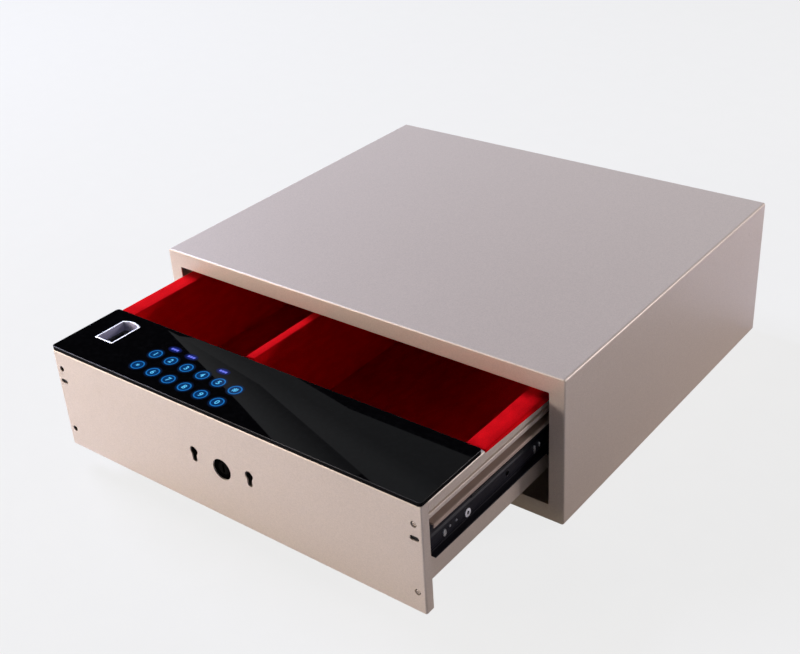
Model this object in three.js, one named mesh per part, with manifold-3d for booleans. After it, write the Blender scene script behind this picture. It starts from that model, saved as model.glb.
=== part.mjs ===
// Under desk drawer safe: a bent steel case, a felt-lined drawer on three-fold ball slides,
// a glass control deck with a fingerprint well, and a motor-driven lock that drops two bolts.
// Millimetres, +Z up, origin under the middle of the case. The drawer opens towards -Y.
// It is shown part open, with the intermediate slide members still in and the bolts drawn up.
import * as THREE from 'three';
import { mergeVertices } from 'three/addons/utils/BufferGeometryUtils.js';
import Module from 'manifold-3d';

const wasm = await Module();
wasm.setup();

// Case
const CASE_WIDTH = 450;
const CASE_DEPTH = 386;
const CASE_HEIGHT = 145;
const CASE_SHEET = 1.5;
const CASE_EDGE_RADIUS = 2.4;
const FRAME_SIDE = 14.7; // front frame, seen width beside the opening
const FRAME_TOP = 16.7;
const FRAME_BOTTOM = 16.5;
const BACK_RIM = 14; // depth of the back panel's folded rim
const FIXING_HOLE = 8.5; // diameter of the holes for fastening the case down
const FIXING_SPACING_X = 300;
const FIXING_SPACING_Y = 240;

// Clearances
const SEAT = 0.2; // between pieces that sit against each other
const RUN = 0.3; // between pieces that turn or slide in each other

// Ball slides
const SLIDE_LENGTH = 350;
const SLIDE_THICKNESS = 12.7;
const SLIDE_SHEET = 1.1;
const SLIDE_BEND = 1.5;
const SLIDE_SETBACK = 14; // from the case front to the members' front ends when shut
const SLIDE_HEIGHT = 61.4; // from the panel's lower edge up to the slide's middle
const OPENING_CLEARANCE = 0.2; // from the slide to the edge of the frame's opening
const DRAWER_MEMBER_HEIGHT = 32.4;
const DRAWER_MEMBER_DEPTH = 7.6;
const MEMBER_END_RADIUS = 4;
const MEMBER_HOLE = 4.4;
const MEMBER_HOLE_SHARES = [0.12, 0.5, 0.88]; // of the slide's length, from its front end
const WEB_GAP = 1.35; // between the webs of the cabinet and intermediate members
const FLANGE_REACH = 10.5; // from the cabinet member's back to its flange tips
const TRACK_LIP = 0.9;
const BALL_RADIUS = 1.4;
const BALL_CLEARANCE = 0.1;
const BALLS_PER_TRACK = 5;
const CAGE_LENGTH = 150;
const CAGE_SHEET = 0.6;
const CAGE_WINDOWS = 3;
const CAGE_WINDOW_HEIGHT = 20;
const SPACER_HEIGHT = 44;
const SPACER_SHEET = 1.5;
const DRAWER_TRAVEL = 350; // both stages of the slide together
const DRAWER_OPEN = 165; // how far the drawer is shown open

// Drawer front panel
const PANEL_SIDE_GAP = 5.3; // from the panel's ends to the edges of the frame's opening
const PANEL_HEIGHT = 102.4;
const PANEL_SHEET = 1.5;
const PANEL_RETURN = 9;
const PANEL_BEND = 1.8;
const PANEL_LIFT = 1.3; // above the frame's lower edge
const KEY_HOLE = 20;
const KEY_HOLE_X = -2;
const KEY_HOLE_HEIGHT = 51.9; // above the panel's lower edge
const HANGER_SPACING = 63.4; // between the two hanging slots beside the key hole
const HANGER_HEIGHT = 58.4;
const HANGER_HEAD = 7.6;
const HANGER_NECK = 4.2;
const HANGER_DROP = 8;
const HANGER_MARGIN = 2.3; // of the clearance holes in the tray behind the panel's holes
const EDGE_HOLE_INSET = 7.7;
const EDGE_HOLE = 5.5;
const EDGE_HOLE_HEIGHTS = [19.6, 84.2];
const EDGE_SLOT_HEIGHT = 71.1;
const EDGE_SLOT_LENGTH = 8.6;
const EDGE_SLOT_WIDTH = 4.2;

// Drawer tray and control deck
const TRAY_LENGTH = 365; // from the panel's face to the back of the drawer
const TRAY_SHEET = 1.2;
const TRAY_BEND = 1.8;
const TRAY_LIFT = 16.9; // above the panel's lower edge
const TRAY_SIDE_SETBACK = 9.4; // the tray's sides start behind the panel's turned-back edges
const TRAY_FRONT_INSET = 17; // of the tray's front wall from the panel's ends
const TRAY_FRONT_HEIGHT = 70.8;
const LIP_CLEARANCE = 0.8; // from the slide to the tray's turned-down lip
const DECK_DEPTH = 81.8;
const DECK_SHEET = 1.2;
const DECK_SKIRT = 9.5;
const DECK_FRONT_FLANGE = 10;
const GLASS_DEPTH = 78.5;
const GLASS_THICKNESS = 4;
const GLASS_CORNER = 3;

// Felt lining
const LINING_BOARD = 8.8;
const LINING_FELT = 2.2;
const LINING_OVERHANG = 1.6; // past the tray's lip
const LINING_WRAP = 1; // down over the tray's edge
const LINING_ROUND = 1;
const DIVIDER_THICKNESS = 9.7;
const DIVIDER_X = -41.7;

// Keypad and fingerprint reader
const TOUCH_BOARD_WIDTH = 122;
const TOUCH_BOARD_DEPTH = 52;
const TOUCH_BOARD_X = -61;
const TOUCH_BOARD_SETBACK = 9;
const BOARD_THICKNESS = 1.6;
const TOUCH_CHIP = [12, 12, 1.4]; // width, depth and height below the board
const WELL_WIDTH = 22.6;
const WELL_LENGTH = 33.5;
const WELL_BULGE = 3.4; // of the well's rounded rear end
const WELL_INSET = 33.4; // of the well's middle from the panel's left end
const WELL_SETBACK = 31.5;
const WELL_DEPTH = 8;
const WELL_RIM = 1.2;
const WELL_HEIGHT = 18.4;
const WINDOW_WIDTH = 13;
const WINDOW_LENGTH = 20;
const SENSOR_HEIGHT = 6;

// Control board
const CONTROL_WIDTH = 52;
const CONTROL_DEPTH = 57;
const CONTROL_INSET = 43; // of the board's middle from the panel's right end
const CONTROL_SETBACK = 15;
const STANDOFF_HEIGHT = 6;
const STANDOFF_RADIUS = 2.5;
const STANDOFF_INSET = 5;
const CONTROL_CHIP = [14, 14, 1.6]; // width, depth and height above the board
const LEAD_SOCKET = [12, 6, 6];
const LEAD_SOCKET_EDGE = 6; // from the board's near edge
const CAPACITOR_RADIUS = 4;
const CAPACITOR_HEIGHT = 11;
const CAPACITOR_EDGE = 22;

// Batteries
const CELL_RADIUS = 7.1;
const CELL_LENGTH = 49.3;
const CELL_NUB_RADIUS = 2.7;
const CELL_NUB = 1.2;
const CELL_PITCH = 15.4;
const HOLDER_WALL = 2;
const HOLDER_INSET = 51; // of the holder's middle from the panel's left end
const DOOR_OVERLAP = 2; // of the holder's and the door's rims, past the doorway
const DOOR_THICKNESS = 2;

// Lock: key cylinder, key gear, bolt plate and bolts
const CYLINDER_FLANGE = 28;
const CYLINDER_FLANGE_THICKNESS = 2;
const CYLINDER_DIAMETER = 19;
const CYLINDER_LENGTH = 25.5;
const PLUG_DIAMETER = 12;
const KEYWAY_WIDTH = 2.2;
const KEYWAY_HEIGHT = 8.5;
const KEYWAY_DEPTH = 9;
const TAIL_SIZE = 6;
const KEY_GEAR_WIDTH = 2.5;
const BOLT_TRAVEL = 16;
const BOLT_RADIUS = 5;
const BOLT_INSET = 85; // of each bolt from the panel's end
const BOLT_HANG = 11.5; // how far the drawn-up bolts reach below the tray
const PLATE_THICKNESS = 2.5;
const PLATE_BAR = 10;
const PLATE_END = 8; // past the middle of each bolt
const PLATE_REST = 21.6; // from the tray's floor up to the plate's lower edge
const STUD_INSET = 40; // of each guide stud from its bolt, towards the middle
const STUD_RADIUS = 3;
const STUD_HEAD_RADIUS = 5;
const STUD_HEAD = 2.5;
const EAR_WIDTH = 16;
const EAR_WALL = 3.2;
const FRAME_PLATE_INSET = 20; // of the frame's ends from the bolts
const FRAME_PLATE_HEIGHT = 65.8;
const FRAME_PLATE_SHEET = 1.5;
const FRAME_PLATE_FOOT = 19;
const BUSH_RADIUS = 6.6;
const BUSH_FLANGE_RADIUS = 9;
const BUSH_FLANGE = 1.8;
const BUSH_STAND = 0.5; // above the tray's floor

// Strike on the case floor
const STRIKE_THICKNESS = 3;
const STRIKE_HEIGHT = 14.3;
const STRIKE_FOOT = 22.5;
const STRIKE_WIDTH = 280;
const STRIKE_GAP = 0.8; // in front of the dropped bolts

// Drive: toothed wheels, racks and gear motor
const GEAR_MODULE = 0.8;
const PINION_TEETH = 18;
const KEY_GEAR_TEETH = 26;
const PINION_WIDTH = 4.6;
const PRESSURE_ANGLE = 20; // degrees
const BACKLASH = 0.24;
const PINION_INSET = 65.8; // of the pinion's middle from the right-hand bolt
const PINION_HEIGHT = 46.1; // of its middle above the tray's floor
const RACK_TEETH = 11;
const RACK_ARM = 7;
const SHAFT_RADIUS = 2;
const SHAFT_DEPTH = 7; // into the gearbox
const GEARBOX_SIZE = [22, 19, 22];
const MOTOR_RADIUS = 9;
const MOTOR_LENGTH = 30;

// Facets
const ROUND_SIDES = 24;
const SHAFT_SIDES = 16;
const BALL_SIDES = 8;
const CORNER_STEPS = 3;
const WINDOW_CORNER_STEPS = 1;
const BEND_STEPS = 2;
const FLANK_STEPS = 3;

// Places worked out from the sizes, with the drawer shut
const frontY = -CASE_DEPTH / 2;
const backY = CASE_DEPTH / 2;
const caseInnerX = CASE_WIDTH / 2 - CASE_SHEET;
const openingX = CASE_WIDTH / 2 - FRAME_SIDE;
const openingTop = CASE_HEIGHT - FRAME_TOP;
const panelX = openingX - PANEL_SIDE_GAP;
const panelBottom = FRAME_BOTTOM + PANEL_LIFT;
const panelTop = panelBottom + PANEL_HEIGHT;
const panelBackY = frontY + PANEL_SHEET;
const slideZ = panelBottom + SLIDE_HEIGHT;
const slideOuterX = openingX - OPENING_CLEARANCE;
const slideInnerX = slideOuterX - SLIDE_THICKNESS;
const slideFrontY = frontY + SLIDE_SETBACK;
const stageTravel = DRAWER_TRAVEL / 2;
const ballGap = 2 * (BALL_RADIUS + BALL_CLEARANCE);
const drawerMemberHalf = DRAWER_MEMBER_HEIGHT / 2;
const midMemberHalf = drawerMemberHalf + ballGap + SLIDE_SHEET;
const cabinetMemberHalf = midMemberHalf + ballGap + SLIDE_SHEET;
const flangeTipX = slideOuterX - FLANGE_REACH;
const midWebX = slideOuterX - SLIDE_SHEET - WEB_GAP;
const drawerMemberTipX = slideInnerX + DRAWER_MEMBER_DEPTH;
const trayX = slideInnerX - SEAT;
const trayInnerX = trayX - TRAY_SHEET;
const trayBottom = panelBottom + TRAY_LIFT;
const trayFloor = trayBottom + TRAY_SHEET;
const trayTop = panelTop - DECK_SHEET - SEAT;
const trayLipX = panelX - DECK_SHEET - SEAT;
const trayLipBottom = slideZ + cabinetMemberHalf + LIP_CLEARANCE;
const trayFrontY = panelBackY + SEAT;
const trayBackY = frontY + TRAY_LENGTH;
const deckBackY = frontY + DECK_DEPTH;
const deckUnderZ = panelTop - DECK_SHEET;
const glassBottom = panelTop + SEAT;
const glassTop = glassBottom + GLASS_THICKNESS;
const liningTop = trayTop + SEAT + LINING_FELT;
const liningInnerX = trayInnerX - SEAT - LINING_BOARD;
const storageFrontY = deckBackY + SEAT + LINING_FELT + SEAT;
const storageBackY = trayBackY - TRAY_SHEET - SEAT - LINING_BOARD;
const keyZ = panelBottom + KEY_HOLE_HEIGHT;
const wellX = -panelX + WELL_INSET;
const controlX = panelX - CONTROL_INSET;
const holderX = -panelX + HOLDER_INSET;

// Places of the lock, from the panel backwards
const cylinderFrontY = panelBackY + SEAT;
const cylinderBackY = cylinderFrontY + CYLINDER_LENGTH;
const keyGearFrontY = cylinderBackY + 3 * RUN;
const keyGearBackY = keyGearFrontY + KEY_GEAR_WIDTH;
const plateFrontY = keyGearBackY + STUD_HEAD + RUN;
const plateBackY = plateFrontY + PLATE_THICKNESS;
const framePlateY = plateBackY + 2 * RUN;
const framePlateBackY = framePlateY + FRAME_PLATE_SHEET;
const boltY = plateBackY + SEAT + BOLT_RADIUS / 3;
const boltX = panelX - BOLT_INSET;
const studX = boltX - STUD_INSET;
const pinionX = boltX - PINION_INSET;
const boltTip = trayBottom - BOLT_HANG;
const plateBottom = trayFloor + PLATE_REST;
const plateTop = plateBottom + PLATE_BAR;
const slotBottom = plateBottom + EAR_WALL;
const studZ = slotBottom + STUD_RADIUS + RUN;
const slotTop = studZ + BOLT_TRAVEL + STUD_RADIUS + RUN;
const pinionZ = trayFloor + PINION_HEIGHT;
const pinionRackX = pinionX - GEAR_MODULE * PINION_TEETH / 2;
const keyRackX = KEY_HOLE_X + GEAR_MODULE * KEY_GEAR_TEETH / 2;
const toothPitch = Math.PI * GEAR_MODULE;
const strikeBackY = boltY - BOLT_RADIUS - STRIKE_GAP;

// Finishes
const finish = (color, roughness, metalness) =>
  new THREE.MeshStandardMaterial({ color, roughness, metalness, flatShading: true });
const CHAMPAGNE = finish(0xcdbfb4, 0.45, 0.3);
const RED_FELT = finish(0xc00614, 0.95, 0);
const BLACK_GLASS = finish(0x06070a, 0.06, 0);
const BLACK_SLIDE = finish(0x1a1a20, 0.35, 0.6);
const ZINC = finish(0xb9bcc0, 0.3, 0.9);
const CHROME = finish(0xe6e8ee, 0.1, 1);
const BRASS = finish(0xc9a95a, 0.3, 0.9);
const BLACK_PLASTIC = finish(0x141416, 0.5, 0);
const WHITE_NYLON = finish(0xe8e6df, 0.6, 0);
const GREEN_BOARD = finish(0x1d5a35, 0.5, 0.1);
const CELL_WRAP = finish(0x30343a, 0.35, 0.3);

// Sketch planes: x and y of a sketch, and its depth, laid along the part's axes
const axisVector = (x, y, z) => new THREE.Vector3(x, y, z);
const SKETCH_PLANES = {
  x: new THREE.Matrix4().makeBasis(axisVector(0, 1, 0), axisVector(0, 0, 1), axisVector(1, 0, 0)),
  y: new THREE.Matrix4().makeBasis(axisVector(1, 0, 0), axisVector(0, 0, 1), axisVector(0, -1, 0)),
  z: new THREE.Matrix4(),
};

// A closed geometry as a solid that can be joined and cut.
function solidOf(geometry) {
  const source = geometry.index ? geometry.toNonIndexed() : geometry;
  const bare = new THREE.BufferGeometry();
  bare.setAttribute('position', source.getAttribute('position'));
  const merged = mergeVertices(bare);
  const vertProperties = merged.getAttribute('position').array;
  const triVerts = new Uint32Array(merged.index.array);
  return new wasm.Manifold(new wasm.Mesh({ numProp: 3, vertProperties, triVerts }));
}

// A sketch outline pushed along one axis from one coordinate to another.
function extruded(outline, axis, from, to) {
  const shape = new THREE.Shape(outline.map(([a, b]) => new THREE.Vector2(a, b)));
  const geometry = new THREE.ExtrudeGeometry(shape, { depth: to - from, bevelEnabled: false });
  geometry.applyMatrix4(SKETCH_PLANES[axis]);
  const start = axis === 'y' ? to : from;
  geometry.translate(axis === 'x' ? start : 0, axis === 'y' ? start : 0, axis === 'z' ? start : 0);
  return solidOf(geometry);
}

function block([x0, x1], [y0, y1], [z0, z1]) {
  const geometry = new THREE.BoxGeometry(x1 - x0, y1 - y0, z1 - z0);
  geometry.translate((x0 + x1) / 2, (y0 + y1) / 2, (z0 + z1) / 2);
  return solidOf(geometry);
}

// Points of an arc about a centre, angles in radians.
function arc([a, b], radius, start, end, steps) {
  return Array.from({ length: steps + 1 }, (_, i) => {
    const t = start + (end - start) * i / steps;
    return [a + radius * Math.cos(t), b + radius * Math.sin(t)];
  });
}

function circle(centre, radius, sides = ROUND_SIDES) {
  return arc(centre, radius, 0, 2 * Math.PI * (1 - 1 / sides), sides - 1);
}

function rod(axis, centre, radius, from, to, sides = ROUND_SIDES) {
  return extruded(circle(centre, radius, sides), axis, from, to);
}

function ball(centre, radius) {
  const geometry = new THREE.SphereGeometry(radius, BALL_SIDES, BALL_SIDES / 2);
  geometry.translate(...centre);
  return solidOf(geometry);
}

function roundedRect([a0, a1], [b0, b1], radius, steps = CORNER_STEPS) {
  const centres = [
    [a1 - radius, b1 - radius],
    [a0 + radius, b1 - radius],
    [a0 + radius, b0 + radius],
    [a1 - radius, b0 + radius],
  ];
  return centres.flatMap((centre, i) => arc(centre, radius, i * Math.PI / 2, (i + 1) * Math.PI / 2, steps));
}

// A slot with round ends, standing upright in its sketch.
function uprightSlot([a, b], width, length) {
  const end = length / 2 - width / 2;
  return [
    ...arc([a, b + end], width / 2, 0, Math.PI, 2 * CORNER_STEPS),
    ...arc([a, b - end], width / 2, Math.PI, 2 * Math.PI, 2 * CORNER_STEPS),
  ];
}

// An open line with its corners rounded. A short leg limits the radius.
function filleted(line, radius) {
  const points = line.map(([a, b]) => new THREE.Vector2(a, b));
  return points.flatMap((corner, i) => {
    if (i === 0 || i === points.length - 1) return [[corner.x, corner.y]];
    const before = points[i - 1].clone().sub(corner);
    const after = points[i + 1].clone().sub(corner);
    const roomBefore = before.length() * (i === 1 ? 0.9 : 0.45);
    const roomAfter = after.length() * (i === points.length - 2 ? 0.9 : 0.45);
    const half = before.angleTo(after) / 2;
    const reach = Math.min(radius / Math.tan(half), roomBefore, roomAfter);
    const bend = reach * Math.tan(half);
    const inward = before.clone().normalize().add(after.clone().normalize()).normalize();
    const centre = corner.clone().addScaledVector(inward, bend / Math.sin(half));
    const start = corner.clone().addScaledVector(before.normalize(), reach).sub(centre).angle();
    const end = corner.clone().addScaledVector(after.normalize(), reach).sub(centre).angle();
    const sweep = Math.atan2(Math.sin(end - start), Math.cos(end - start));
    return arc([centre.x, centre.y], bend, start, start + sweep, BEND_STEPS);
  });
}

// The closed outline of a bent sheet: one face as a line, and the other face set off to its left.
function bentSheet(face, sheet, bend) {
  const line = filleted(face, bend);
  const points = line.map(([a, b]) => new THREE.Vector2(a, b));
  const back = points.map((point, i) => {
    const arriving = i > 0 ? point.clone().sub(points[i - 1]).normalize() : null;
    const leaving = i < points.length - 1 ? points[i + 1].clone().sub(point).normalize() : null;
    const first = arriving ?? leaving;
    const second = leaving ?? arriving;
    const normal = new THREE.Vector2(-first.y - second.y, first.x + second.x).normalize();
    const mitre = sheet / (-normal.x * first.y + normal.y * first.x);
    return [point.x + normal.x * mitre, point.y + normal.y * mitre];
  });
  return [...line, ...back.reverse()];
}

// A closed body between two outlines of equally many points at two heights.
function lofted(lower, lowerZ, upper, upperZ) {
  const count = lower.length;
  const positions = [
    ...lower.flatMap(([x, y]) => [x, y, lowerZ]),
    ...upper.flatMap(([x, y]) => [x, y, upperZ]),
  ];
  const flat = lower.map(([x, y]) => new THREE.Vector2(x, y));
  const caps = THREE.ShapeUtils.triangulateShape(flat, []);
  const sides = lower.flatMap((_, i) => {
    const next = (i + 1) % count;
    return [[i, next, count + i], [next, count + next, count + i]];
  });
  const faces = [
    ...caps.map(([a, b, c]) => [a, c, b]),
    ...caps.map(([a, b, c]) => [a + count, b + count, c + count]),
    ...sides,
  ];
  const geometry = new THREE.BufferGeometry();
  geometry.setAttribute('position', new THREE.Float32BufferAttribute(positions, 3));
  geometry.setIndex(faces.flat());
  return solidOf(geometry);
}

const joined = (first, ...rest) => rest.reduce((sum, piece) => sum.add(piece), first);
const pierced = (body, ...cutters) => cutters.reduce((left, cutter) => left.subtract(cutter), body);

// Groups of the pieces that move together, placed as the safe is shown
const safe = new THREE.Group();
const caseGroup = new THREE.Group();
const midSlides = new THREE.Group();
const outerCages = new THREE.Group();
const innerCages = new THREE.Group();
const drawer = new THREE.Group();
drawer.position.y = -DRAWER_OPEN;
innerCages.position.y = -DRAWER_OPEN / 2;
safe.add(caseGroup, midSlides, outerCages, innerCages, drawer);

function addPiece(group, name, body, material) {
  const { vertProperties, triVerts } = body.getMesh();
  const geometry = new THREE.BufferGeometry();
  geometry.setAttribute('position', new THREE.BufferAttribute(vertProperties, 3));
  geometry.setIndex(new THREE.BufferAttribute(triVerts, 1));
  const mesh = new THREE.Mesh(geometry, material);
  mesh.name = name;
  group.add(mesh);
  return mesh;
}

// A right-hand piece and its mirror image on the left.
function addPair(group, name, body, material) {
  addPiece(group, `${name}_right`, body, material);
  addPiece(group, `${name}_left`, body, material).scale.x = -1;
}

// Case of one bent and welded sheet, with the frame round its opening
function makeCaseShell() {
  const half = CASE_WIDTH / 2;
  const outline = roundedRect([-half, half], [0, CASE_HEIGHT], CASE_EDGE_RADIUS);
  const noseDepth = CASE_EDGE_RADIUS * 0.75;
  const nose = new THREE.ExtrudeGeometry(
    new THREE.Shape(outline.map(([a, b]) => new THREE.Vector2(a, b))),
    {
      depth: CASE_EDGE_RADIUS,
      bevelThickness: noseDepth,
      bevelSize: noseDepth,
      bevelOffset: -noseDepth,
      bevelSegments: CORNER_STEPS,
    },
  );
  nose.applyMatrix4(SKETCH_PLANES.y);
  nose.translate(0, frontY + CASE_EDGE_RADIUS + noseDepth, 0);
  const body = joined(extruded(outline, 'y', frontY + 2 * noseDepth, backY), solidOf(nose));
  const past = CASE_SHEET;
  const inside = block(
    [-caseInnerX, caseInnerX],
    [frontY + CASE_SHEET, backY + past],
    [CASE_SHEET, CASE_HEIGHT - CASE_SHEET],
  );
  const opening = block(
    [-openingX, openingX],
    [frontY - past, frontY + CASE_SHEET + past],
    [FRAME_BOTTOM, openingTop],
  );
  const fixings = [-1, 1].flatMap((sx) => [-1, 1].map((sy) => {
    const centre = [sx * FIXING_SPACING_X / 2, sy * FIXING_SPACING_Y / 2];
    return rod('z', centre, FIXING_HOLE / 2, -past, CASE_SHEET + past);
  }));
  return pierced(body, inside, opening, ...fixings);
}

// Back panel: a shallow pan let into the rear of the case
function makeBackPanel() {
  const x = caseInnerX - SEAT;
  const bottom = CASE_SHEET + SEAT;
  const top = CASE_HEIGHT - CASE_SHEET - SEAT;
  const outer = extruded(roundedRect([-x, x], [bottom, top], CASE_SHEET), 'y', backY - BACK_RIM, backY);
  const hollow = block(
    [-x + CASE_SHEET, x - CASE_SHEET],
    [backY - BACK_RIM - CASE_SHEET, backY - CASE_SHEET],
    [bottom + CASE_SHEET, top - CASE_SHEET],
  );
  const fixings = [-1, 1].map((side) => rod(
    'y',
    [side * FIXING_SPACING_X / 2, CASE_HEIGHT / 2],
    FIXING_HOLE / 2,
    backY - BACK_RIM,
    backY + CASE_SHEET,
  ));
  return pierced(outer, hollow, ...fixings);
}

// Channel that packs the slide out from the case wall, so that it clears the frame
function makeSlideSpacer() {
  const wallX = caseInnerX - SEAT;
  const webX = slideOuterX + SEAT;
  const low = slideZ - SPACER_HEIGHT / 2;
  const high = slideZ + SPACER_HEIGHT / 2;
  const face = [[wallX, low], [webX, low], [webX, high], [wallX, high]];
  const outline = bentSheet(face, -SPACER_SHEET, 1.5 * SPACER_SHEET);
  return extruded(outline, 'y', slideFrontY, slideFrontY + SLIDE_LENGTH);
}

// Slide member in the case or between: a channel open to the drawer, with lips that keep the balls
function makeOuterMember(webX, half) {
  const lipEnd = half - SLIDE_SHEET - TRACK_LIP;
  const face = [
    [flangeTipX, slideZ - lipEnd],
    [flangeTipX, slideZ - half],
    [webX, slideZ - half],
    [webX, slideZ + half],
    [flangeTipX, slideZ + half],
    [flangeTipX, slideZ + lipEnd],
  ];
  const body = extruded(
    bentSheet(face, SLIDE_SHEET, SLIDE_BEND),
    'y',
    slideFrontY,
    slideFrontY + SLIDE_LENGTH,
  );
  const holes = MEMBER_HOLE_SHARES.map((share) => rod(
    'x',
    [slideFrontY + share * SLIDE_LENGTH, slideZ],
    MEMBER_HOLE / 2,
    webX - 2 * SLIDE_SHEET,
    webX + SLIDE_SHEET,
    ROUND_SIDES / 2,
  ));
  return pierced(body, ...holes);
}

// Slide member on the drawer: a channel open to the case, with lips turned outwards
function makeDrawerMember() {
  const lipX = drawerMemberTipX - SLIDE_SHEET;
  const lipEnd = drawerMemberHalf + TRACK_LIP;
  const face = [
    [lipX, slideZ + lipEnd],
    [lipX, slideZ + drawerMemberHalf],
    [slideInnerX, slideZ + drawerMemberHalf],
    [slideInnerX, slideZ - drawerMemberHalf],
    [lipX, slideZ - drawerMemberHalf],
    [lipX, slideZ - lipEnd],
  ];
  const rearY = slideFrontY + SLIDE_LENGTH;
  const channel = extruded(bentSheet(face, SLIDE_SHEET, SLIDE_BEND), 'y', slideFrontY, rearY);
  const ends = extruded(
    roundedRect([slideFrontY, rearY], [slideZ - lipEnd, slideZ + lipEnd], MEMBER_END_RADIUS),
    'x',
    slideInnerX - SLIDE_SHEET,
    drawerMemberTipX + SLIDE_SHEET,
  );
  const holes = MEMBER_HOLE_SHARES.map((share) => rod(
    'x',
    [slideFrontY + share * SLIDE_LENGTH, slideZ],
    MEMBER_HOLE / 2,
    slideInnerX - SLIDE_SHEET,
    slideInnerX + 2 * SLIDE_SHEET,
    ROUND_SIDES / 2,
  ));
  return pierced(channel.intersect(ends), ...holes);
}

// Ball cage: a thin channel with windows, carrying two rows of balls midway in their tracks
function makeBallCage(webX, tipX, ballX, trackZ, frontEndY) {
  const half = trackZ + CAGE_SHEET / 2;
  const face = [
    [tipX, slideZ - half],
    [webX, slideZ - half],
    [webX, slideZ + half],
    [tipX, slideZ + half],
  ];
  const strip = extruded(
    bentSheet(face, CAGE_SHEET, 1.5 * CAGE_SHEET),
    'y',
    frontEndY,
    frontEndY + CAGE_LENGTH,
  );
  const windowPitch = CAGE_LENGTH / CAGE_WINDOWS;
  const windows = Array.from({ length: CAGE_WINDOWS }, (_, i) => extruded(
    roundedRect(
      [frontEndY + (i + 0.15) * windowPitch, frontEndY + (i + 0.85) * windowPitch],
      [slideZ - CAGE_WINDOW_HEIGHT / 2, slideZ + CAGE_WINDOW_HEIGHT / 2],
      2 * BALL_RADIUS,
      WINDOW_CORNER_STEPS,
    ),
    'x',
    webX - 2 * CAGE_SHEET,
    webX + CAGE_SHEET,
  ));
  const ballPitch = CAGE_LENGTH / BALLS_PER_TRACK;
  const balls = [-1, 1].flatMap((side) => Array.from({ length: BALLS_PER_TRACK }, (_, i) =>
    ball([ballX, frontEndY + (i + 0.5) * ballPitch, slideZ + side * trackZ], BALL_RADIUS)));
  return joined(pierced(strip, ...windows), ...balls);
}

function addSlides() {
  addPair(caseGroup, 'slide_spacer', makeSlideSpacer(), ZINC);
  addPair(caseGroup, 'cabinet_member', makeOuterMember(slideOuterX, cabinetMemberHalf), BLACK_SLIDE);
  addPair(midSlides, 'intermediate_member', makeOuterMember(midWebX, midMemberHalf), BLACK_SLIDE);
  addPair(drawer, 'drawer_member', makeDrawerMember(), BLACK_SLIDE);
  const shutCageY = slideFrontY + (SLIDE_LENGTH - stageTravel - CAGE_LENGTH) / 2 + stageTravel / 2;
  const innerTrackZ = drawerMemberHalf + ballGap / 2;
  const outerTrackZ = midMemberHalf + ballGap / 2;
  const lipsMiddleX = (flangeTipX + drawerMemberTipX) / 2;
  const innerWebX = (drawerMemberTipX + midWebX - SLIDE_SHEET + CAGE_SHEET) / 2;
  const outerWebX = (midWebX + slideOuterX - SLIDE_SHEET + CAGE_SHEET) / 2;
  const cageTipX = lipsMiddleX - BALL_RADIUS - CAGE_SHEET;
  addPair(
    innerCages,
    'ball_cage_inner',
    makeBallCage(innerWebX, cageTipX, lipsMiddleX, innerTrackZ, shutCageY),
    ZINC,
  );
  addPair(
    outerCages,
    'ball_cage_outer',
    makeBallCage(outerWebX, cageTipX, lipsMiddleX, outerTrackZ, shutCageY),
    ZINC,
  );
}

// Strike: an angle on the case floor that the dropped bolts stand behind
function makeStrike() {
  const floor = CASE_SHEET + SEAT;
  const face = [
    [strikeBackY, floor + STRIKE_HEIGHT],
    [strikeBackY, floor],
    [strikeBackY - STRIKE_FOOT, floor],
  ];
  return extruded(
    bentSheet(face, -STRIKE_THICKNESS, 1.3 * STRIKE_THICKNESS),
    'x',
    -STRIKE_WIDTH / 2,
    STRIKE_WIDTH / 2,
  );
}

// Round-headed hanging slot, wide part up
function makeHanger(x) {
  const headZ = panelBottom + HANGER_HEIGHT;
  const depth = [frontY - PANEL_SHEET, panelBackY + PANEL_SHEET];
  const head = rod('y', [x, headZ], HANGER_HEAD / 2, ...depth);
  const neck = block([x - HANGER_NECK / 2, x + HANGER_NECK / 2], depth, [headZ - HANGER_DROP, headZ]);
  const foot = rod('y', [x, headZ - HANGER_DROP], HANGER_NECK / 2, ...depth);
  return joined(head, neck, foot);
}

// Drawer front: a steel pan with turned-back edges at the sides and the bottom
function makeFrontPanel() {
  const face = [
    [panelX, panelTop],
    [panelX, panelBottom],
    [-panelX, panelBottom],
    [-panelX, panelTop],
  ];
  const rim = extruded(
    bentSheet(face, -PANEL_SHEET, PANEL_BEND),
    'y',
    frontY,
    frontY + PANEL_RETURN,
  );
  const plate = extruded(filleted(face, PANEL_BEND).reverse(), 'y', frontY, panelBackY);
  const past = [frontY - PANEL_SHEET, panelBackY + PANEL_SHEET];
  const keyHole = rod('y', [KEY_HOLE_X, keyZ], KEY_HOLE / 2, ...past);
  const hangers = [-1, 1].map((side) => makeHanger(KEY_HOLE_X + side * HANGER_SPACING / 2));
  const edgeX = panelX - EDGE_HOLE_INSET;
  const edgeHoles = [-1, 1].flatMap((side) => EDGE_HOLE_HEIGHTS.map((height) =>
    rod('y', [side * edgeX, panelBottom + height], EDGE_HOLE / 2, ...past, ROUND_SIDES / 2)));
  const slotZ = panelBottom + EDGE_SLOT_HEIGHT;
  const edgeSlots = [-1, 1].map((side) => extruded(
    uprightSlot([slotZ, side * edgeX], EDGE_SLOT_WIDTH, EDGE_SLOT_LENGTH).map(([z, x]) => [x, z]),
    'y',
    ...past,
  ));
  return pierced(joined(plate, rim), keyHole, ...hangers, ...edgeHoles, ...edgeSlots);
}

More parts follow.
